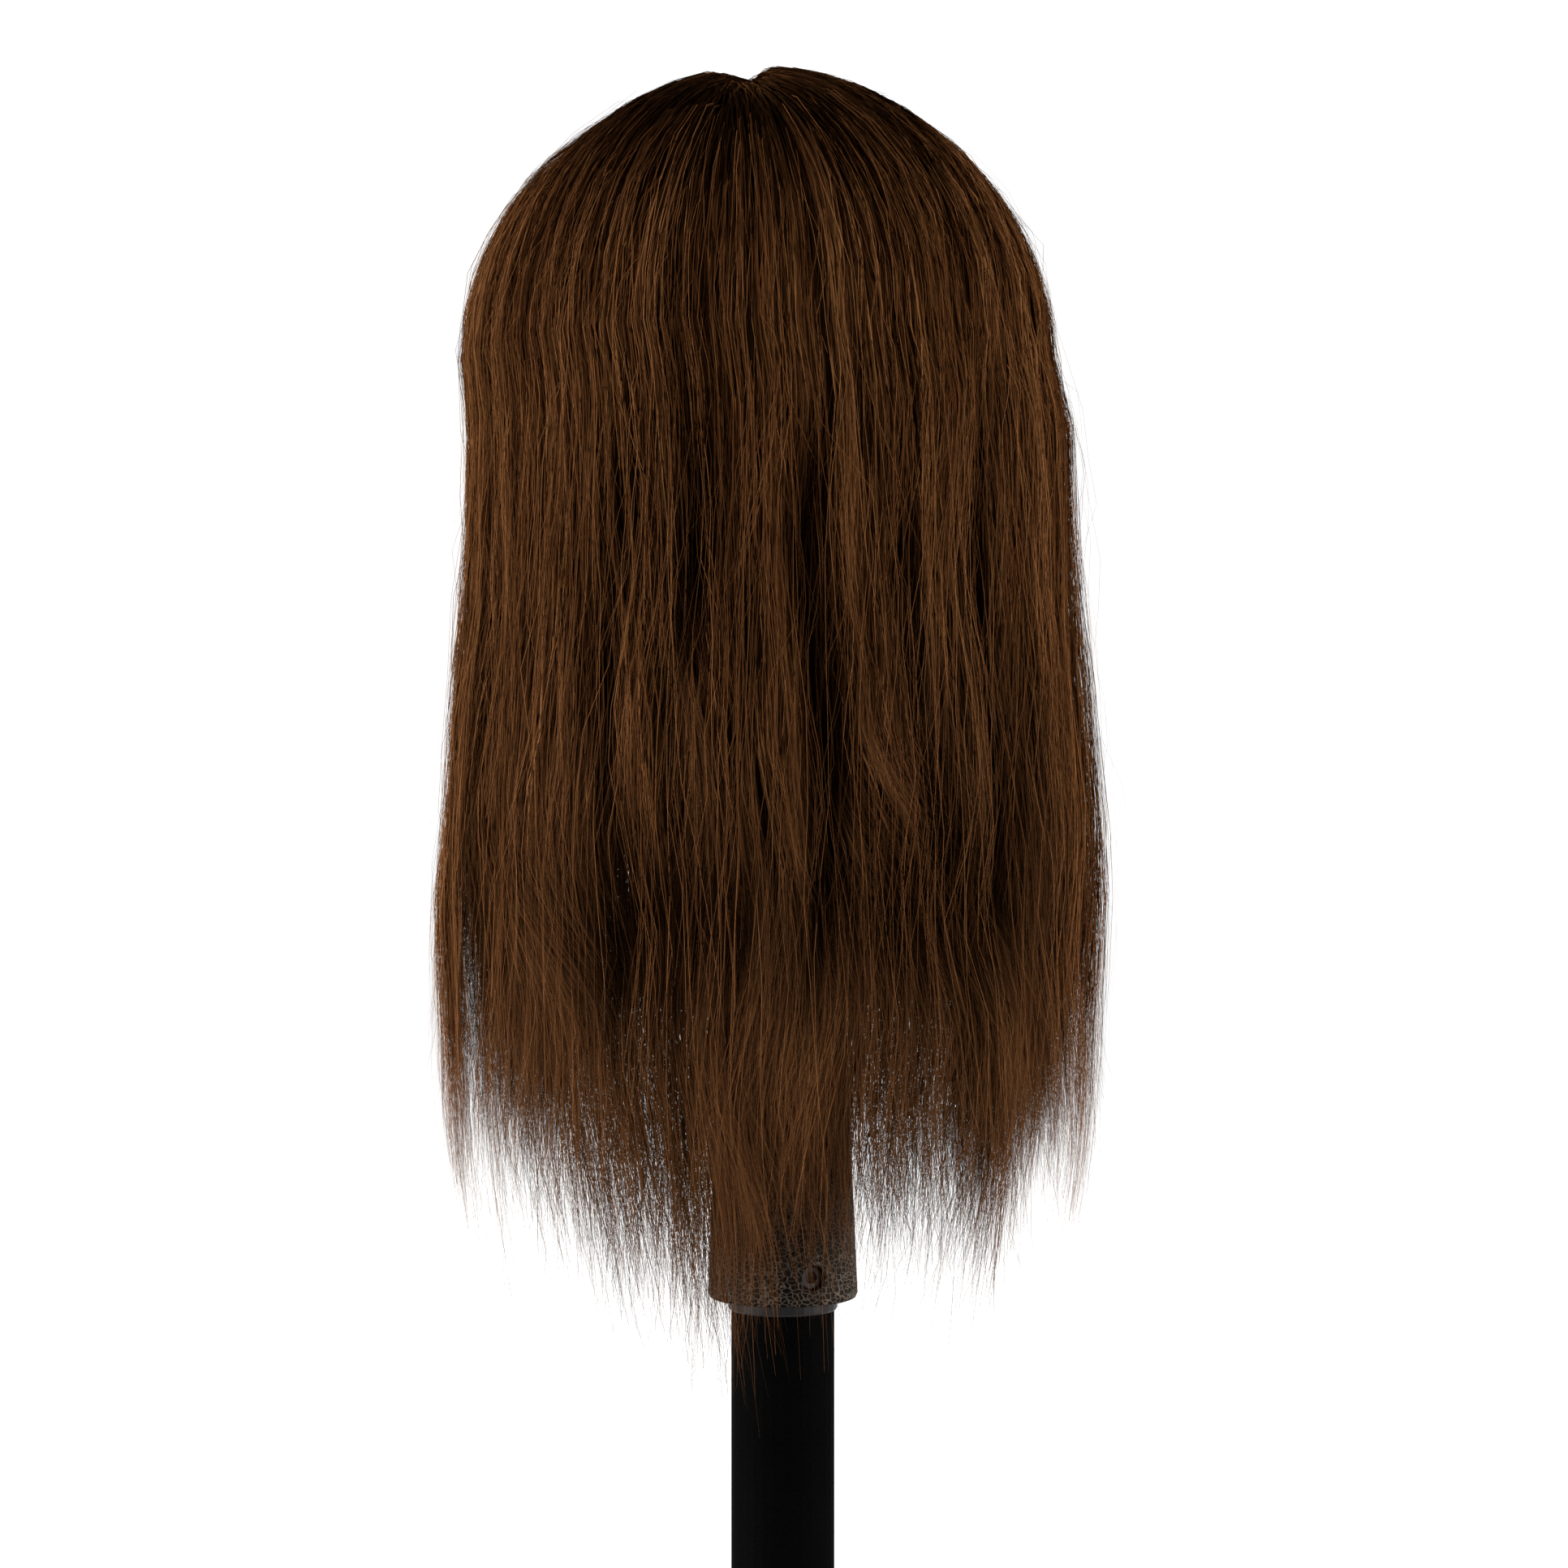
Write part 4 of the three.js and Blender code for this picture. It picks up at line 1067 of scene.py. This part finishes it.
class Graph:
    """A short way to add nodes to a material or group and join them."""

    def __init__(self, tree):
        self.tree = tree

    def add(self, kind, inputs=None, **settings):
        """Adds a node, and sets or joins each of the inputs given by index or name."""
        node = self.tree.nodes.new(kind)
        for key, value in settings.items():
            setattr(node, key, value)
        for key, value in (inputs or {}).items():
            socket = node.inputs[key]
            if isinstance(value, bpy.types.NodeSocket):
                self.tree.links.new(value, socket)
            else:
                socket.default_value = value
        return node

    def maths(self, operation, a, b=0.0, clamp=False):
        """One operation on two values."""
        node = self.add("ShaderNodeMath", {0: a, 1: b}, operation=operation, use_clamp=clamp)
        return node.outputs[0]

    def shared(self, a, share_a, b, share_b):
        """The sum of two values, each times its share."""
        first = self.maths("MULTIPLY", a, share_a)
        return self.maths("ADD", first, self.maths("MULTIPLY", b, share_b))

    def strayed(self, value, amount):
        """How far a value lies from a half, times an amount."""
        return self.maths("MULTIPLY", self.maths("SUBTRACT", value, 0.5), amount)

    def ramp(self, value, stops):
        """A colour read off a line of stops, each a place and a colour."""
        node = self.add("ShaderNodeValToRGB", {0: value})
        elements = node.color_ramp.elements
        while len(elements) < len(stops):
            elements.new(0.5)
        for element, (place, color) in zip(elements, stops):
            element.position = place
            element.color = (*color, 1.0)
        return node.outputs[0]

    def blend(self, share, a, b):
        """Colour a at share 0 and b at share 1."""
        node = self.add("ShaderNodeMix", data_type="RGBA")
        for socket, value in zip((node.inputs[0], node.inputs[6], node.inputs[7]), (share, a, b)):
            if isinstance(value, bpy.types.NodeSocket):
                self.tree.links.new(value, socket)
            else:
                socket.default_value = (*value, 1.0) if isinstance(value, tuple) else value
        return node.outputs[2]

    def attribute(self, name):
        """The number that a mesh keeps for each vertex under a name."""
        return self.add("ShaderNodeAttribute", attribute_name=name).outputs["Fac"]

    def place(self, scale=(1.0, 1.0, 1.0)):
        """The place on the object itself, stretched by a scale."""
        where = self.add("ShaderNodeTexCoord").outputs["Object"]
        return self.add("ShaderNodeMapping", {"Vector": where, "Scale": scale}).outputs[0]

    def noise(self, where, scale, detail=3.0, rough=0.55):
        """A value that wanders around a half."""
        inputs = {"Vector": where, "Scale": scale, "Detail": detail, "Roughness": rough}
        return self.add("ShaderNodeTexNoise", inputs).outputs["Fac"]

    def bump(self, height, distance, strength=1.0):
        """A normal that follows a height."""
        inputs = {"Height": height, "Distance": distance, "Strength": strength}
        return self.add("ShaderNodeBump", inputs).outputs[0]


def new_material(name, **settings):
    """A material with one Principled shader, whose fixed values are set on its own sockets."""
    material = bpy.data.materials.new(name)
    material.use_nodes = True
    graph = Graph(material.node_tree)
    shader = material.node_tree.nodes["Principled BSDF"]
    for key, value in settings.items():
        shader.inputs[key.replace("_", " ")].default_value = value
    return material, graph, shader


def wire(graph, shader, **inputs):
    """Joins each value to the shader's socket of that name."""
    for key, value in inputs.items():
        graph.tree.links.new(value, shader.inputs[key.replace("_", " ")])


def grain_group():
    """Fine grain that several finishes share: puts out a value that wanders around a half, and
    a normal from the same grain."""
    tree = bpy.data.node_groups.new("Fine grain", "ShaderNodeTree")
    for label, start in (("Scale", 900.0), ("Depth", 0.00004), ("Strength", 0.5)):
        socket = tree.interface.new_socket(label, in_out="INPUT", socket_type="NodeSocketFloat")
        socket.default_value = start
    tree.interface.new_socket("Value", in_out="OUTPUT", socket_type="NodeSocketFloat")
    tree.interface.new_socket("Normal", in_out="OUTPUT", socket_type="NodeSocketVector")
    graph = Graph(tree)
    into = graph.add("NodeGroupInput").outputs
    where = graph.place()
    value = graph.noise(where, into["Scale"], 2.0)
    broad = graph.noise(where, 18.0, 4.0)
    both = graph.shared(value, 0.6, broad, 0.4)
    normal = graph.bump(value, into["Depth"], into["Strength"])
    graph.add("NodeGroupOutput", {"Value": both, "Normal": normal})


def use_grain(graph, scale, depth, strength):
    """Places the shared grain in a material with its own values."""
    if "Fine grain" not in bpy.data.node_groups:
        grain_group()
    group = graph.add("ShaderNodeGroup", node_tree=bpy.data.node_groups["Fine grain"])
    for label, value in (("Scale", scale), ("Depth", depth), ("Strength", strength)):
        group.inputs[label].default_value = value
    return group.outputs["Value"], group.outputs["Normal"]


def hair_finish(name, colours, roughness, anisotropy):
    """Hair: a dark to red-brown ramp read by each strand's tint, topped by a painted glint colour,
    warmer and paler towards the tips, darkened by painted shade towards the colour beneath where
    it lies deep, with a warm sheen."""
    material, graph, shader = new_material(
        name,
        Roughness=roughness,
        Anisotropic=anisotropy,
        Specular_IOR_Level=0.0,
        Sheen_Weight=0.05,
        Sheen_Roughness=0.35,
        Sheen_Tint=(1.0, 0.45, 0.17, 1.0),
    )
    tint = graph.attribute("tint")
    patch = graph.noise(graph.place((1.0, 1.0, 0.25)), 26.0, 2.0)
    shifted = graph.maths("ADD", tint, graph.strayed(patch, 0.45))
    # The top stop of the ramp is the painted glint colour.
    base = graph.ramp(
        shifted, ((0.1, colours[0]), (0.46, colours[1]), (0.8, colours[2]), (1.0, colours[5]))
    )
    pale = graph.ramp(shifted, ((0.0, colours[1]), (1.0, colours[3])))
    ends = graph.maths("POWER", graph.attribute("along"), 7.0, clamp=True)
    ended = graph.blend(graph.maths("MULTIPLY", ends, 0.75), base, pale)
    # Painted shade: the shade attribute blends the hair towards the colour beneath.
    color = graph.blend(graph.attribute("shade"), ended, colours[4])
    across = graph.add("ShaderNodeTangent", direction_type="UV_MAP", uv_map="UVMap").outputs[0]
    wire(graph, shader, Base_Color=color, Tangent=across)
    return material


def under_finish(colours):
    """The under-layer: darker hair in fine stripes that run with the fall, its darkest stripes in
    the painted-shade colour of the hair beneath.
    """
    material, graph, shader = new_material("Under hair", Roughness=0.6, Specular_IOR_Level=0.08)
    surface = graph.add("ShaderNodeUVMap", uv_map="UVMap").outputs[0]
    inputs = {"Vector": surface, "Scale": (1.0, 0.02, 1.0)}
    stretched = graph.add("ShaderNodeMapping", inputs).outputs[0]
    fine = graph.noise(stretched, 260.0, 3.0, 0.7)
    broad = graph.noise(stretched, 40.0, 2.0)
    mixed = graph.shared(fine, 0.6, broad, 0.4)
    color = graph.ramp(mixed, ((0.35, colours[4]), (0.5, colours[0]), (0.68, colours[1])))
    wire(graph, shader, Base_Color=color, Normal=graph.bump(mixed, 0.0008, 0.9))
    return material


def skin_finish(colours):
    """Soft vinyl skin: warm base with faint mottling, rosier lips and cheeks from the painted
    layers, a shaded upper lid, nostrils darkened with painted shade and a fine moulded texture."""
    material, graph, shader = new_material(
        "Skin vinyl",
        Subsurface_Weight=0.12,
        Subsurface_Scale=0.004,
        Coat_Weight=0.03,
        Coat_Roughness=0.45,
    )
    where = graph.place()
    mottle = graph.noise(where, 22.0, 4.0)
    base = graph.ramp(mottle, ((0.3, colours["skin"]), (0.7, colours["skin_light"])))
    cheeks = graph.maths("MULTIPLY", graph.attribute("flush"), 0.42)
    color = graph.blend(cheeks, base, colours["flush"])
    lid = graph.maths("MULTIPLY", graph.attribute("lid_shade"), 0.4)
    color = graph.blend(lid, color, colours["lid"])
    lip_noise = graph.noise(graph.place((1.0, 1.0, 0.25)), 900.0, 2.0)
    lip = graph.ramp(lip_noise, ((0.3, colours["lips"]), (0.75, colours["lips_light"])))
    lips = graph.attribute("lips")
    color = graph.blend(lips, color, lip)
    # Painted shade in the nostrils.
    nostril = graph.maths("MULTIPLY", graph.attribute("nostril"), 0.8)
    color = graph.blend(nostril, color, colours["nostril"])
    value, normal = use_grain(graph, 1500.0, 0.00005, 0.35)
    rough = graph.maths("ADD", 0.46, graph.maths("MULTIPLY", value, 0.2))
    rough = graph.maths("SUBTRACT", rough, graph.maths("MULTIPLY", lips, 0.14))
    wire(graph, shader, Base_Color=color, Roughness=rough, Normal=normal)
    return material


def eye_finish(colours):
    """Painted eyes under gloss: pupil, flecked iris with a dark rim, then white that warms
    towards the corners, all by distance from the middle of the pupil."""
    material, graph, shader = new_material(
        "Painted eye", Roughness=0.12, Coat_Weight=1.0, Coat_Roughness=0.03
    )
    distance = graph.attribute("from_pupil")
    fleck = graph.noise(graph.place(), 1400.0, 3.0, 0.7)
    moved = graph.maths("ADD", distance, graph.strayed(fleck, 0.9))
    share = graph.maths("DIVIDE", moved, 13.0)
    rings = (
        (0.0, colours["pupil"]),
        (0.165, colours["pupil"]),
        (0.185, colours["iris_inner"]),
        (0.33, colours["iris"]),
        (0.415, colours["iris_rim"]),
        (0.455, colours["white"]),
        (0.9, colours["white_edge"]),
    )
    wire(graph, shader, Base_Color=graph.ramp(share, rings))
    return material


def wrinkle_finish():
    """Black-brown wrinkle coating: a net of thin raised ridges about two millimetres apart,
    wider than they are high and glossier than the flats between. The ridges carry a painted
    highlight in broad areas, strongest towards the rim at the bottom."""
    material, graph, shader = new_material("Wrinkle coating", Specular_IOR_Level=0.1)
    where = graph.place((1.0, 1.0, 1.5))
    push = graph.noise(where, 320.0, 2.0)
    bent = graph.add("ShaderNodeVectorMath", {0: where, 1: (0, 0, 0)}, operation="ADD")
    offset = graph.add("ShaderNodeCombineXYZ", {0: push, 1: push, 2: push}).outputs[0]
    small = graph.add("ShaderNodeVectorMath", {0: offset, 3: 0.0016}, operation="SCALE").outputs[0]
    graph.tree.links.new(small, bent.inputs[1])
    inputs = {"Vector": bent.outputs[0], "Scale": 430.0, "Randomness": 0.95}
    voronoi = graph.add("ShaderNodeTexVoronoi", inputs, feature="DISTANCE_TO_EDGE")
    cells = voronoi.outputs["Distance"]
    net = graph.ramp(cells, ((0.015, (1, 1, 1)), (0.13, (0, 0, 0))))
    fine = graph.noise(where, 1900.0, 2.0)
    height = graph.maths("ADD", net, graph.maths("MULTIPLY", fine, 0.25))
    # Painted highlight on the ridges: it comes and goes in broad areas, and is strongest towards
    # the rim at the bottom.
    broad = graph.noise(graph.place(), 70.0, 3.0)
    patches = graph.ramp(broad, ((0.36, (0.5,) * 3), (0.72, (1, 1, 1))))
    level = graph.add("ShaderNodeSeparateXYZ", {0: graph.place()}).outputs[2]
    rim = graph.ramp(level, ((0.128, (1, 1, 1)), (0.175, (0.28,) * 3)))
    highlight_share = graph.maths("MULTIPLY", patches, rim)
    ridges = graph.maths("MULTIPLY", net, highlight_share)
    # The pale ridge colour is a painted highlight; the flats keep the coating's black-brown.
    color = graph.blend(ridges, (0.003, 0.0021, 0.0016), (0.19, 0.148, 0.11))
    rough = graph.maths("SUBTRACT", 0.62, graph.maths("MULTIPLY", net, 0.26))
    wire(graph, shader, Base_Color=color, Roughness=rough, Normal=graph.bump(height, 0.00035, 0.8))
    return material


def coated_finish(name, low, high, rough, spread, scale=900.0, depth=0.00004, metal=0.0, coat=0.0):
    """A dark coating or moulding: two close colours that wander with the grain, and a
    roughness that wanders with it."""
    material, graph, shader = new_material(name, Metallic=metal, Coat_Weight=coat)
    value, normal = use_grain(graph, scale, depth, 0.5)
    color = graph.ramp(value, ((0.35, low), (0.65, high)))
    roughness = graph.maths("ADD", rough, graph.maths("MULTIPLY", value, spread))
    wire(graph, shader, Base_Color=color, Roughness=roughness, Normal=normal)
    return material


def foam_finish():
    """Cut hard foam: pale buff with open cells, their pits darkened with painted shade."""
    material, graph, shader = new_material("Hard foam", Roughness=0.92)
    cells = graph.add(
        "ShaderNodeTexVoronoi", {"Vector": graph.place(), "Scale": 900.0}
    ).outputs["Distance"]
    # Painted shade: the cell pits are darker than the buff between them.
    color = graph.ramp(cells, ((0.0, (0.32, 0.25, 0.13)), (0.5, (0.62, 0.53, 0.33))))
    wire(graph, shader, Base_Color=color, Normal=graph.bump(cells, 0.0004, 0.8))
    return material


# ---------------------------------------------------------------- settings and operators


def colour_property(name, description, default):
    """A colour that the panel shows."""
    return bpy.props.FloatVectorProperty(
        name=name, description=description, default=default, subtype="COLOR", size=3, min=0, max=1
    )


class PracticeHeadHair(bpy.types.PropertyGroup):
    """How much hair there is, how it is combed and how it is coloured."""

    seed: bpy.props.IntProperty(name="Seed", description="Starts the random draws", default=5)
    per_degree: bpy.props.FloatProperty(
        name="Strands a degree", description="Strands for each degree round the head", default=130.0
    )
    steps: bpy.props.IntProperty(name="Points", description="Points along a strand", default=20)
    strand_width: bpy.props.FloatProperty(
        name="Strand width", description="Mean width of a strand", default=0.00027, unit="LENGTH"
    )
    gather: bpy.props.FloatProperty(
        name="Gather",
        description="How far strands close on their lock",
        default=0.62,
        subtype="FACTOR",
    )
    frizz: bpy.props.FloatProperty(
        name="Frizz", description="How far single strands stray", default=1.2, subtype="FACTOR"
    )
    ends: bpy.props.IntProperty(
        name="Thin ends", description="Hairs in the thin lower edge", default=19000
    )
    flyaways: bpy.props.IntProperty(
        name="Flyaways", description="Loose single hairs", default=1500
    )
    dark: colour_property("Dark", "Darkest strands", (0.0055, 0.002, 0.0007))
    mid: colour_property("Brown", "Middle strands", (0.03, 0.011, 0.0036))
    red: colour_property("Red-brown", "Lightest strands", (0.12, 0.046, 0.015))
    tips: colour_property("Tips", "Lightest ends", (0.34, 0.145, 0.056))
    # Under: the colour of painted shade in the hair, and the darkest stripes of the under-layer.
    under: colour_property("Under", "The hair beneath", (0.003, 0.0012, 0.0005))
    # Glint: painted highlight colour of single bright strands.
    glint: colour_property("Glint", "Single bright strands", (0.24, 0.105, 0.038))


class PracticeHeadFace(bpy.types.PropertyGroup):
    """The painted colours of the vinyl head."""

    skin: colour_property("Skin", "Vinyl", (0.6, 0.36, 0.255))
    skin_light: colour_property("Skin, light", "Vinyl where it is paler", (0.67, 0.425, 0.312))
    flush: colour_property("Flush", "Cheeks", (0.68, 0.26, 0.2))
    lips: colour_property("Lips", "Lips", (0.46, 0.12, 0.105))
    lips_light: colour_property("Lips, light", "Lips where they are paler", (0.58, 0.19, 0.16))
    lid: colour_property("Lids", "Upper lids", (0.42, 0.2, 0.14))
    # Colour of the painted shade in the nostrils.
    nostril: colour_property("Nostrils", "Nostrils", (0.09, 0.025, 0.018))
    iris: colour_property("Iris", "Iris", (0.11, 0.05, 0.02))
    iris_inner: colour_property("Iris, inner", "Iris round the pupil", (0.2, 0.105, 0.045))
    iris_rim: colour_property("Iris rim", "Dark rim of the iris", (0.02, 0.01, 0.006))
    white: colour_property("White", "White of the eye", (0.8, 0.77, 0.72))
    white_edge: colour_property("White, edge", "White near the corners", (0.62, 0.44, 0.38))


def hair_colours(settings):
    """The hair's colours as plain tuples: dark to pale, the colour beneath, and the glints."""
    names = ("dark", "mid", "red", "tips", "under", "glint")
    return [tuple(getattr(settings, name)) for name in names]


def face_colours(settings):
    """The face's colours by name, as plain tuples, and the fixed colour of the pupil."""
    names = ("skin", "skin_light", "flush", "lips", "lips_light", "lid", "nostril")
    names += ("iris", "iris_inner", "iris_rim", "white", "white_edge")
    colours = {name: tuple(getattr(settings, name)) for name in names}
    colours["pupil"] = (0.003, 0.003, 0.003)
    return colours


class PRACTICEHEAD_OT_head(bpy.types.Operator):
    """Makes the vinyl skin with its face and the two ears"""

    bl_idname = "practice_head.head"
    bl_label = "Head"

    def execute(self, context):
        finish = skin_finish(face_colours(context.scene.practice_face))
        make_head(finish)
        make_ears(finish)
        return {"FINISHED"}


class PRACTICEHEAD_OT_eyes(bpy.types.Operator):
    """Makes the eyes, the lashes and the brows"""

    bl_idname = "practice_head.eyes"
    bl_label = "Eyes, lashes and brows"

    def execute(self, context):
        make_eyes(eye_finish(face_colours(context.scene.practice_face)))
        colours = hair_colours(context.scene.practice_hair)
        finish = hair_finish("Lash and brow", colours, 0.5, 0.3)
        make_lashes(finish)
        make_brows(finish)
        return {"FINISHED"}


class PRACTICEHEAD_OT_under_hair(bpy.types.Operator):
    """Makes the body of the hair beneath the strands"""

    bl_idname = "practice_head.under_hair"
    bl_label = "Under-layer of the hair"

    def execute(self, context):
        settings = context.scene.practice_hair
        make_under_layer(settings, under_finish(hair_colours(settings)))
        return {"FINISHED"}


class PRACTICEHEAD_OT_hair(bpy.types.Operator):
    """Makes the combed strands and the loose hairs"""

    bl_idname = "practice_head.hair"
    bl_label = "Combed hair"

    def execute(self, context):
        settings = context.scene.practice_hair
        finish = hair_finish("Combed hair", hair_colours(settings), 0.42, 0.55)
        make_strands(settings, finish)
        make_ends(settings, finish)
        make_flyaways(settings, finish)
        return {"FINISHED"}


class PRACTICEHEAD_OT_holder(bpy.types.Operator):
    """Finishes the post, the holder cone and the parts inside the head"""

    bl_idname = "practice_head.holder"
    bl_label = "Holder finishes"

    def execute(self, context):
        wrinkle = wrinkle_finish()
        tube = coated_finish("Tube coating", (0.0012,) * 3, (0.0026,) * 3, 0.42, 0.18, 1600.0)
        tube.node_tree.nodes["Principled BSDF"].inputs["Specular IOR Level"].default_value = 0.004
        moulding = coated_finish("Black moulding", (0.009,) * 3, (0.016,) * 3, 0.42, 0.2, 700.0)
        gloss = coated_finish(
            "Gloss bush", (0.002,) * 3, (0.004,) * 3, 0.12, 0.1, 500.0, 1e-5, coat=0.15
        )
        steel = coated_finish(
            "Screw steel", (0.1, 0.1, 0.105), (0.2, 0.2, 0.21), 0.28, 0.2, metal=0.9
        )
        blackened = coated_finish("Blackened screw", (0.004,) * 3, (0.009,) * 3, 0.4, 0.2)
        foam = foam_finish()
        finishes = {
            "post_tube": tube,
            "post_foot_plug": moulding,
            "post_top_plug": moulding,
            "holder_cone": wrinkle,
            "cone_cap": wrinkle,
            "lower_bush": gloss,
            "upper_bush": gloss,
            "thrust_washer": steel,
            "lock_screw": blackened,
            "foam_core": foam,
            "neck_socket": moulding,
            "base_plate": moulding,
            "base_screw_1": steel,
            "base_screw_2": steel,
            "base_screw_3": steel,
        }
        for node, finish in finishes.items():
            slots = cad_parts[node].data.materials
            slots.clear()
            slots.append(finish)
        return {"FINISHED"}


def softbox(name, place, target, size, power):
    """A square light that looks at a point."""
    lamp = bpy.data.lights.new(name, "AREA")
    lamp.shape, lamp.size, lamp.energy = "SQUARE", size, power
    light = bpy.data.objects.new(name, lamp)
    light.location = place
    light.rotation_mode = "QUATERNION"
    light.rotation_quaternion = (Vector(target) - Vector(place)).to_track_quat("-Z", "Y")
    bpy.context.scene.collection.objects.link(light)


class PRACTICEHEAD_OT_stage(bpy.types.Operator):
    """Sets up the floor, the lights, the pale surroundings and the camera"""

    bl_idname = "practice_head.stage"
    bl_label = "Studio"

    def execute(self, context):
        scene = context.scene
        scene.view_settings.view_transform = "Standard"
        material, graph, shader = new_material("Pale floor", Roughness=0.9, Specular_IOR_Level=0.1)
        speck = graph.noise(graph.place(), 14.0, 3.0)
        wire(graph, shader, Base_Color=graph.ramp(speck, ((0.3, (0.27,) * 3), (0.7, (0.29,) * 3))))
        seen = graph.add("ShaderNodeLightPath").outputs["Is Camera Ray"]
        shader.inputs["Emission Color"].default_value = (1.0, 1.0, 1.0, 1.0)
        wire(graph, shader, Emission_Strength=graph.maths("MULTIPLY", seen, 0.985))
        half = 6.0
        corners = [[-half, -half, 0], [half, -half, 0], [half, half, 0], [-half, half, 0]]
        points = np.array(corners) + [0, 0, -0.0005]
        floor = bpy.data.objects.new("floor", new_mesh("floor", points, [[0, 1, 2, 3]]))
        floor.data.materials.append(material)
        scene.collection.objects.link(floor)

        world = bpy.data.worlds.new("Pale studio")
        world.use_nodes = True
        graph = Graph(world.node_tree)
        seen = graph.add("ShaderNodeLightPath").outputs["Is Camera Ray"]
        strength = graph.maths("ADD", 0.1, graph.maths("MULTIPLY", seen, 0.96))
        back = world.node_tree.nodes["Background"]
        back.inputs["Color"].default_value = (1.0, 1.0, 1.0, 1.0)
        graph.tree.links.new(strength, back.inputs["Strength"])
        scene.world = world

        aim = (0.0, 0.0, 0.33)
        softbox("Softbox left", (1.72, 0.48, 0.7), aim, 1.0, 68)
        softbox("Softbox right", (-1.72, 0.48, 0.7), aim, 1.0, 51)
        softbox("Softbox face left", (1.2, -1.5, 0.9), aim, 1.1, 15)
        softbox("Softbox face right", (-1.2, -1.5, 0.9), aim, 1.1, 13)

        lens = bpy.data.cameras.new("Camera")
        lens.sensor_width, lens.lens = 36.0, 74.4
        camera = bpy.data.objects.new("Camera", lens)
        camera.location = (-0.0004, 1.1, 0.304)
        camera.rotation_euler = (math.radians(90), 0.0, math.radians(180))
        scene.collection.objects.link(camera)
        scene.camera = camera
        return {"FINISHED"}


class PRACTICEHEAD_PT_panel(bpy.types.Panel):
    """Lists the parts of the practice head and what can be changed"""

    bl_idname = "PRACTICEHEAD_PT_panel"
    bl_label = "Practice Head"
    bl_space_type = "VIEW_3D"
    bl_region_type = "UI"
    bl_category = "Practice Head"

    def draw(self, context):
        layout = self.layout
        for settings in (context.scene.practice_hair, context.scene.practice_face):
            for name in settings.bl_rna.properties.keys():
                if name not in ("rna_type", "name"):
                    layout.prop(settings, name)
        for operator in OPERATORS:
            layout.operator(operator.bl_idname)


OPERATORS = (
    PRACTICEHEAD_OT_stage,
    PRACTICEHEAD_OT_head,
    PRACTICEHEAD_OT_eyes,
    PRACTICEHEAD_OT_under_hair,
    PRACTICEHEAD_OT_hair,
    PRACTICEHEAD_OT_holder,
)
CLASSES = (PracticeHeadHair, PracticeHeadFace, *OPERATORS, PRACTICEHEAD_PT_panel)


def register():
    """Makes the classes and the two groups of settings known."""
    for item in CLASSES:
        bpy.utils.register_class(item)
    bpy.types.Scene.practice_hair = bpy.props.PointerProperty(type=PracticeHeadHair)
    bpy.types.Scene.practice_face = bpy.props.PointerProperty(type=PracticeHeadFace)


def unregister():
    """Takes them away again, last first."""
    del bpy.types.Scene.practice_face
    del bpy.types.Scene.practice_hair
    for item in reversed(CLASSES):
        bpy.utils.unregister_class(item)


def main():
    """Makes everything in order."""
    register()
    bpy.ops.practice_head.stage()
    bpy.ops.practice_head.head()
    bpy.ops.practice_head.eyes()
    bpy.ops.practice_head.under_hair()
    bpy.ops.practice_head.hair()
    bpy.ops.practice_head.holder()


if __name__ == "__main__":
    main()
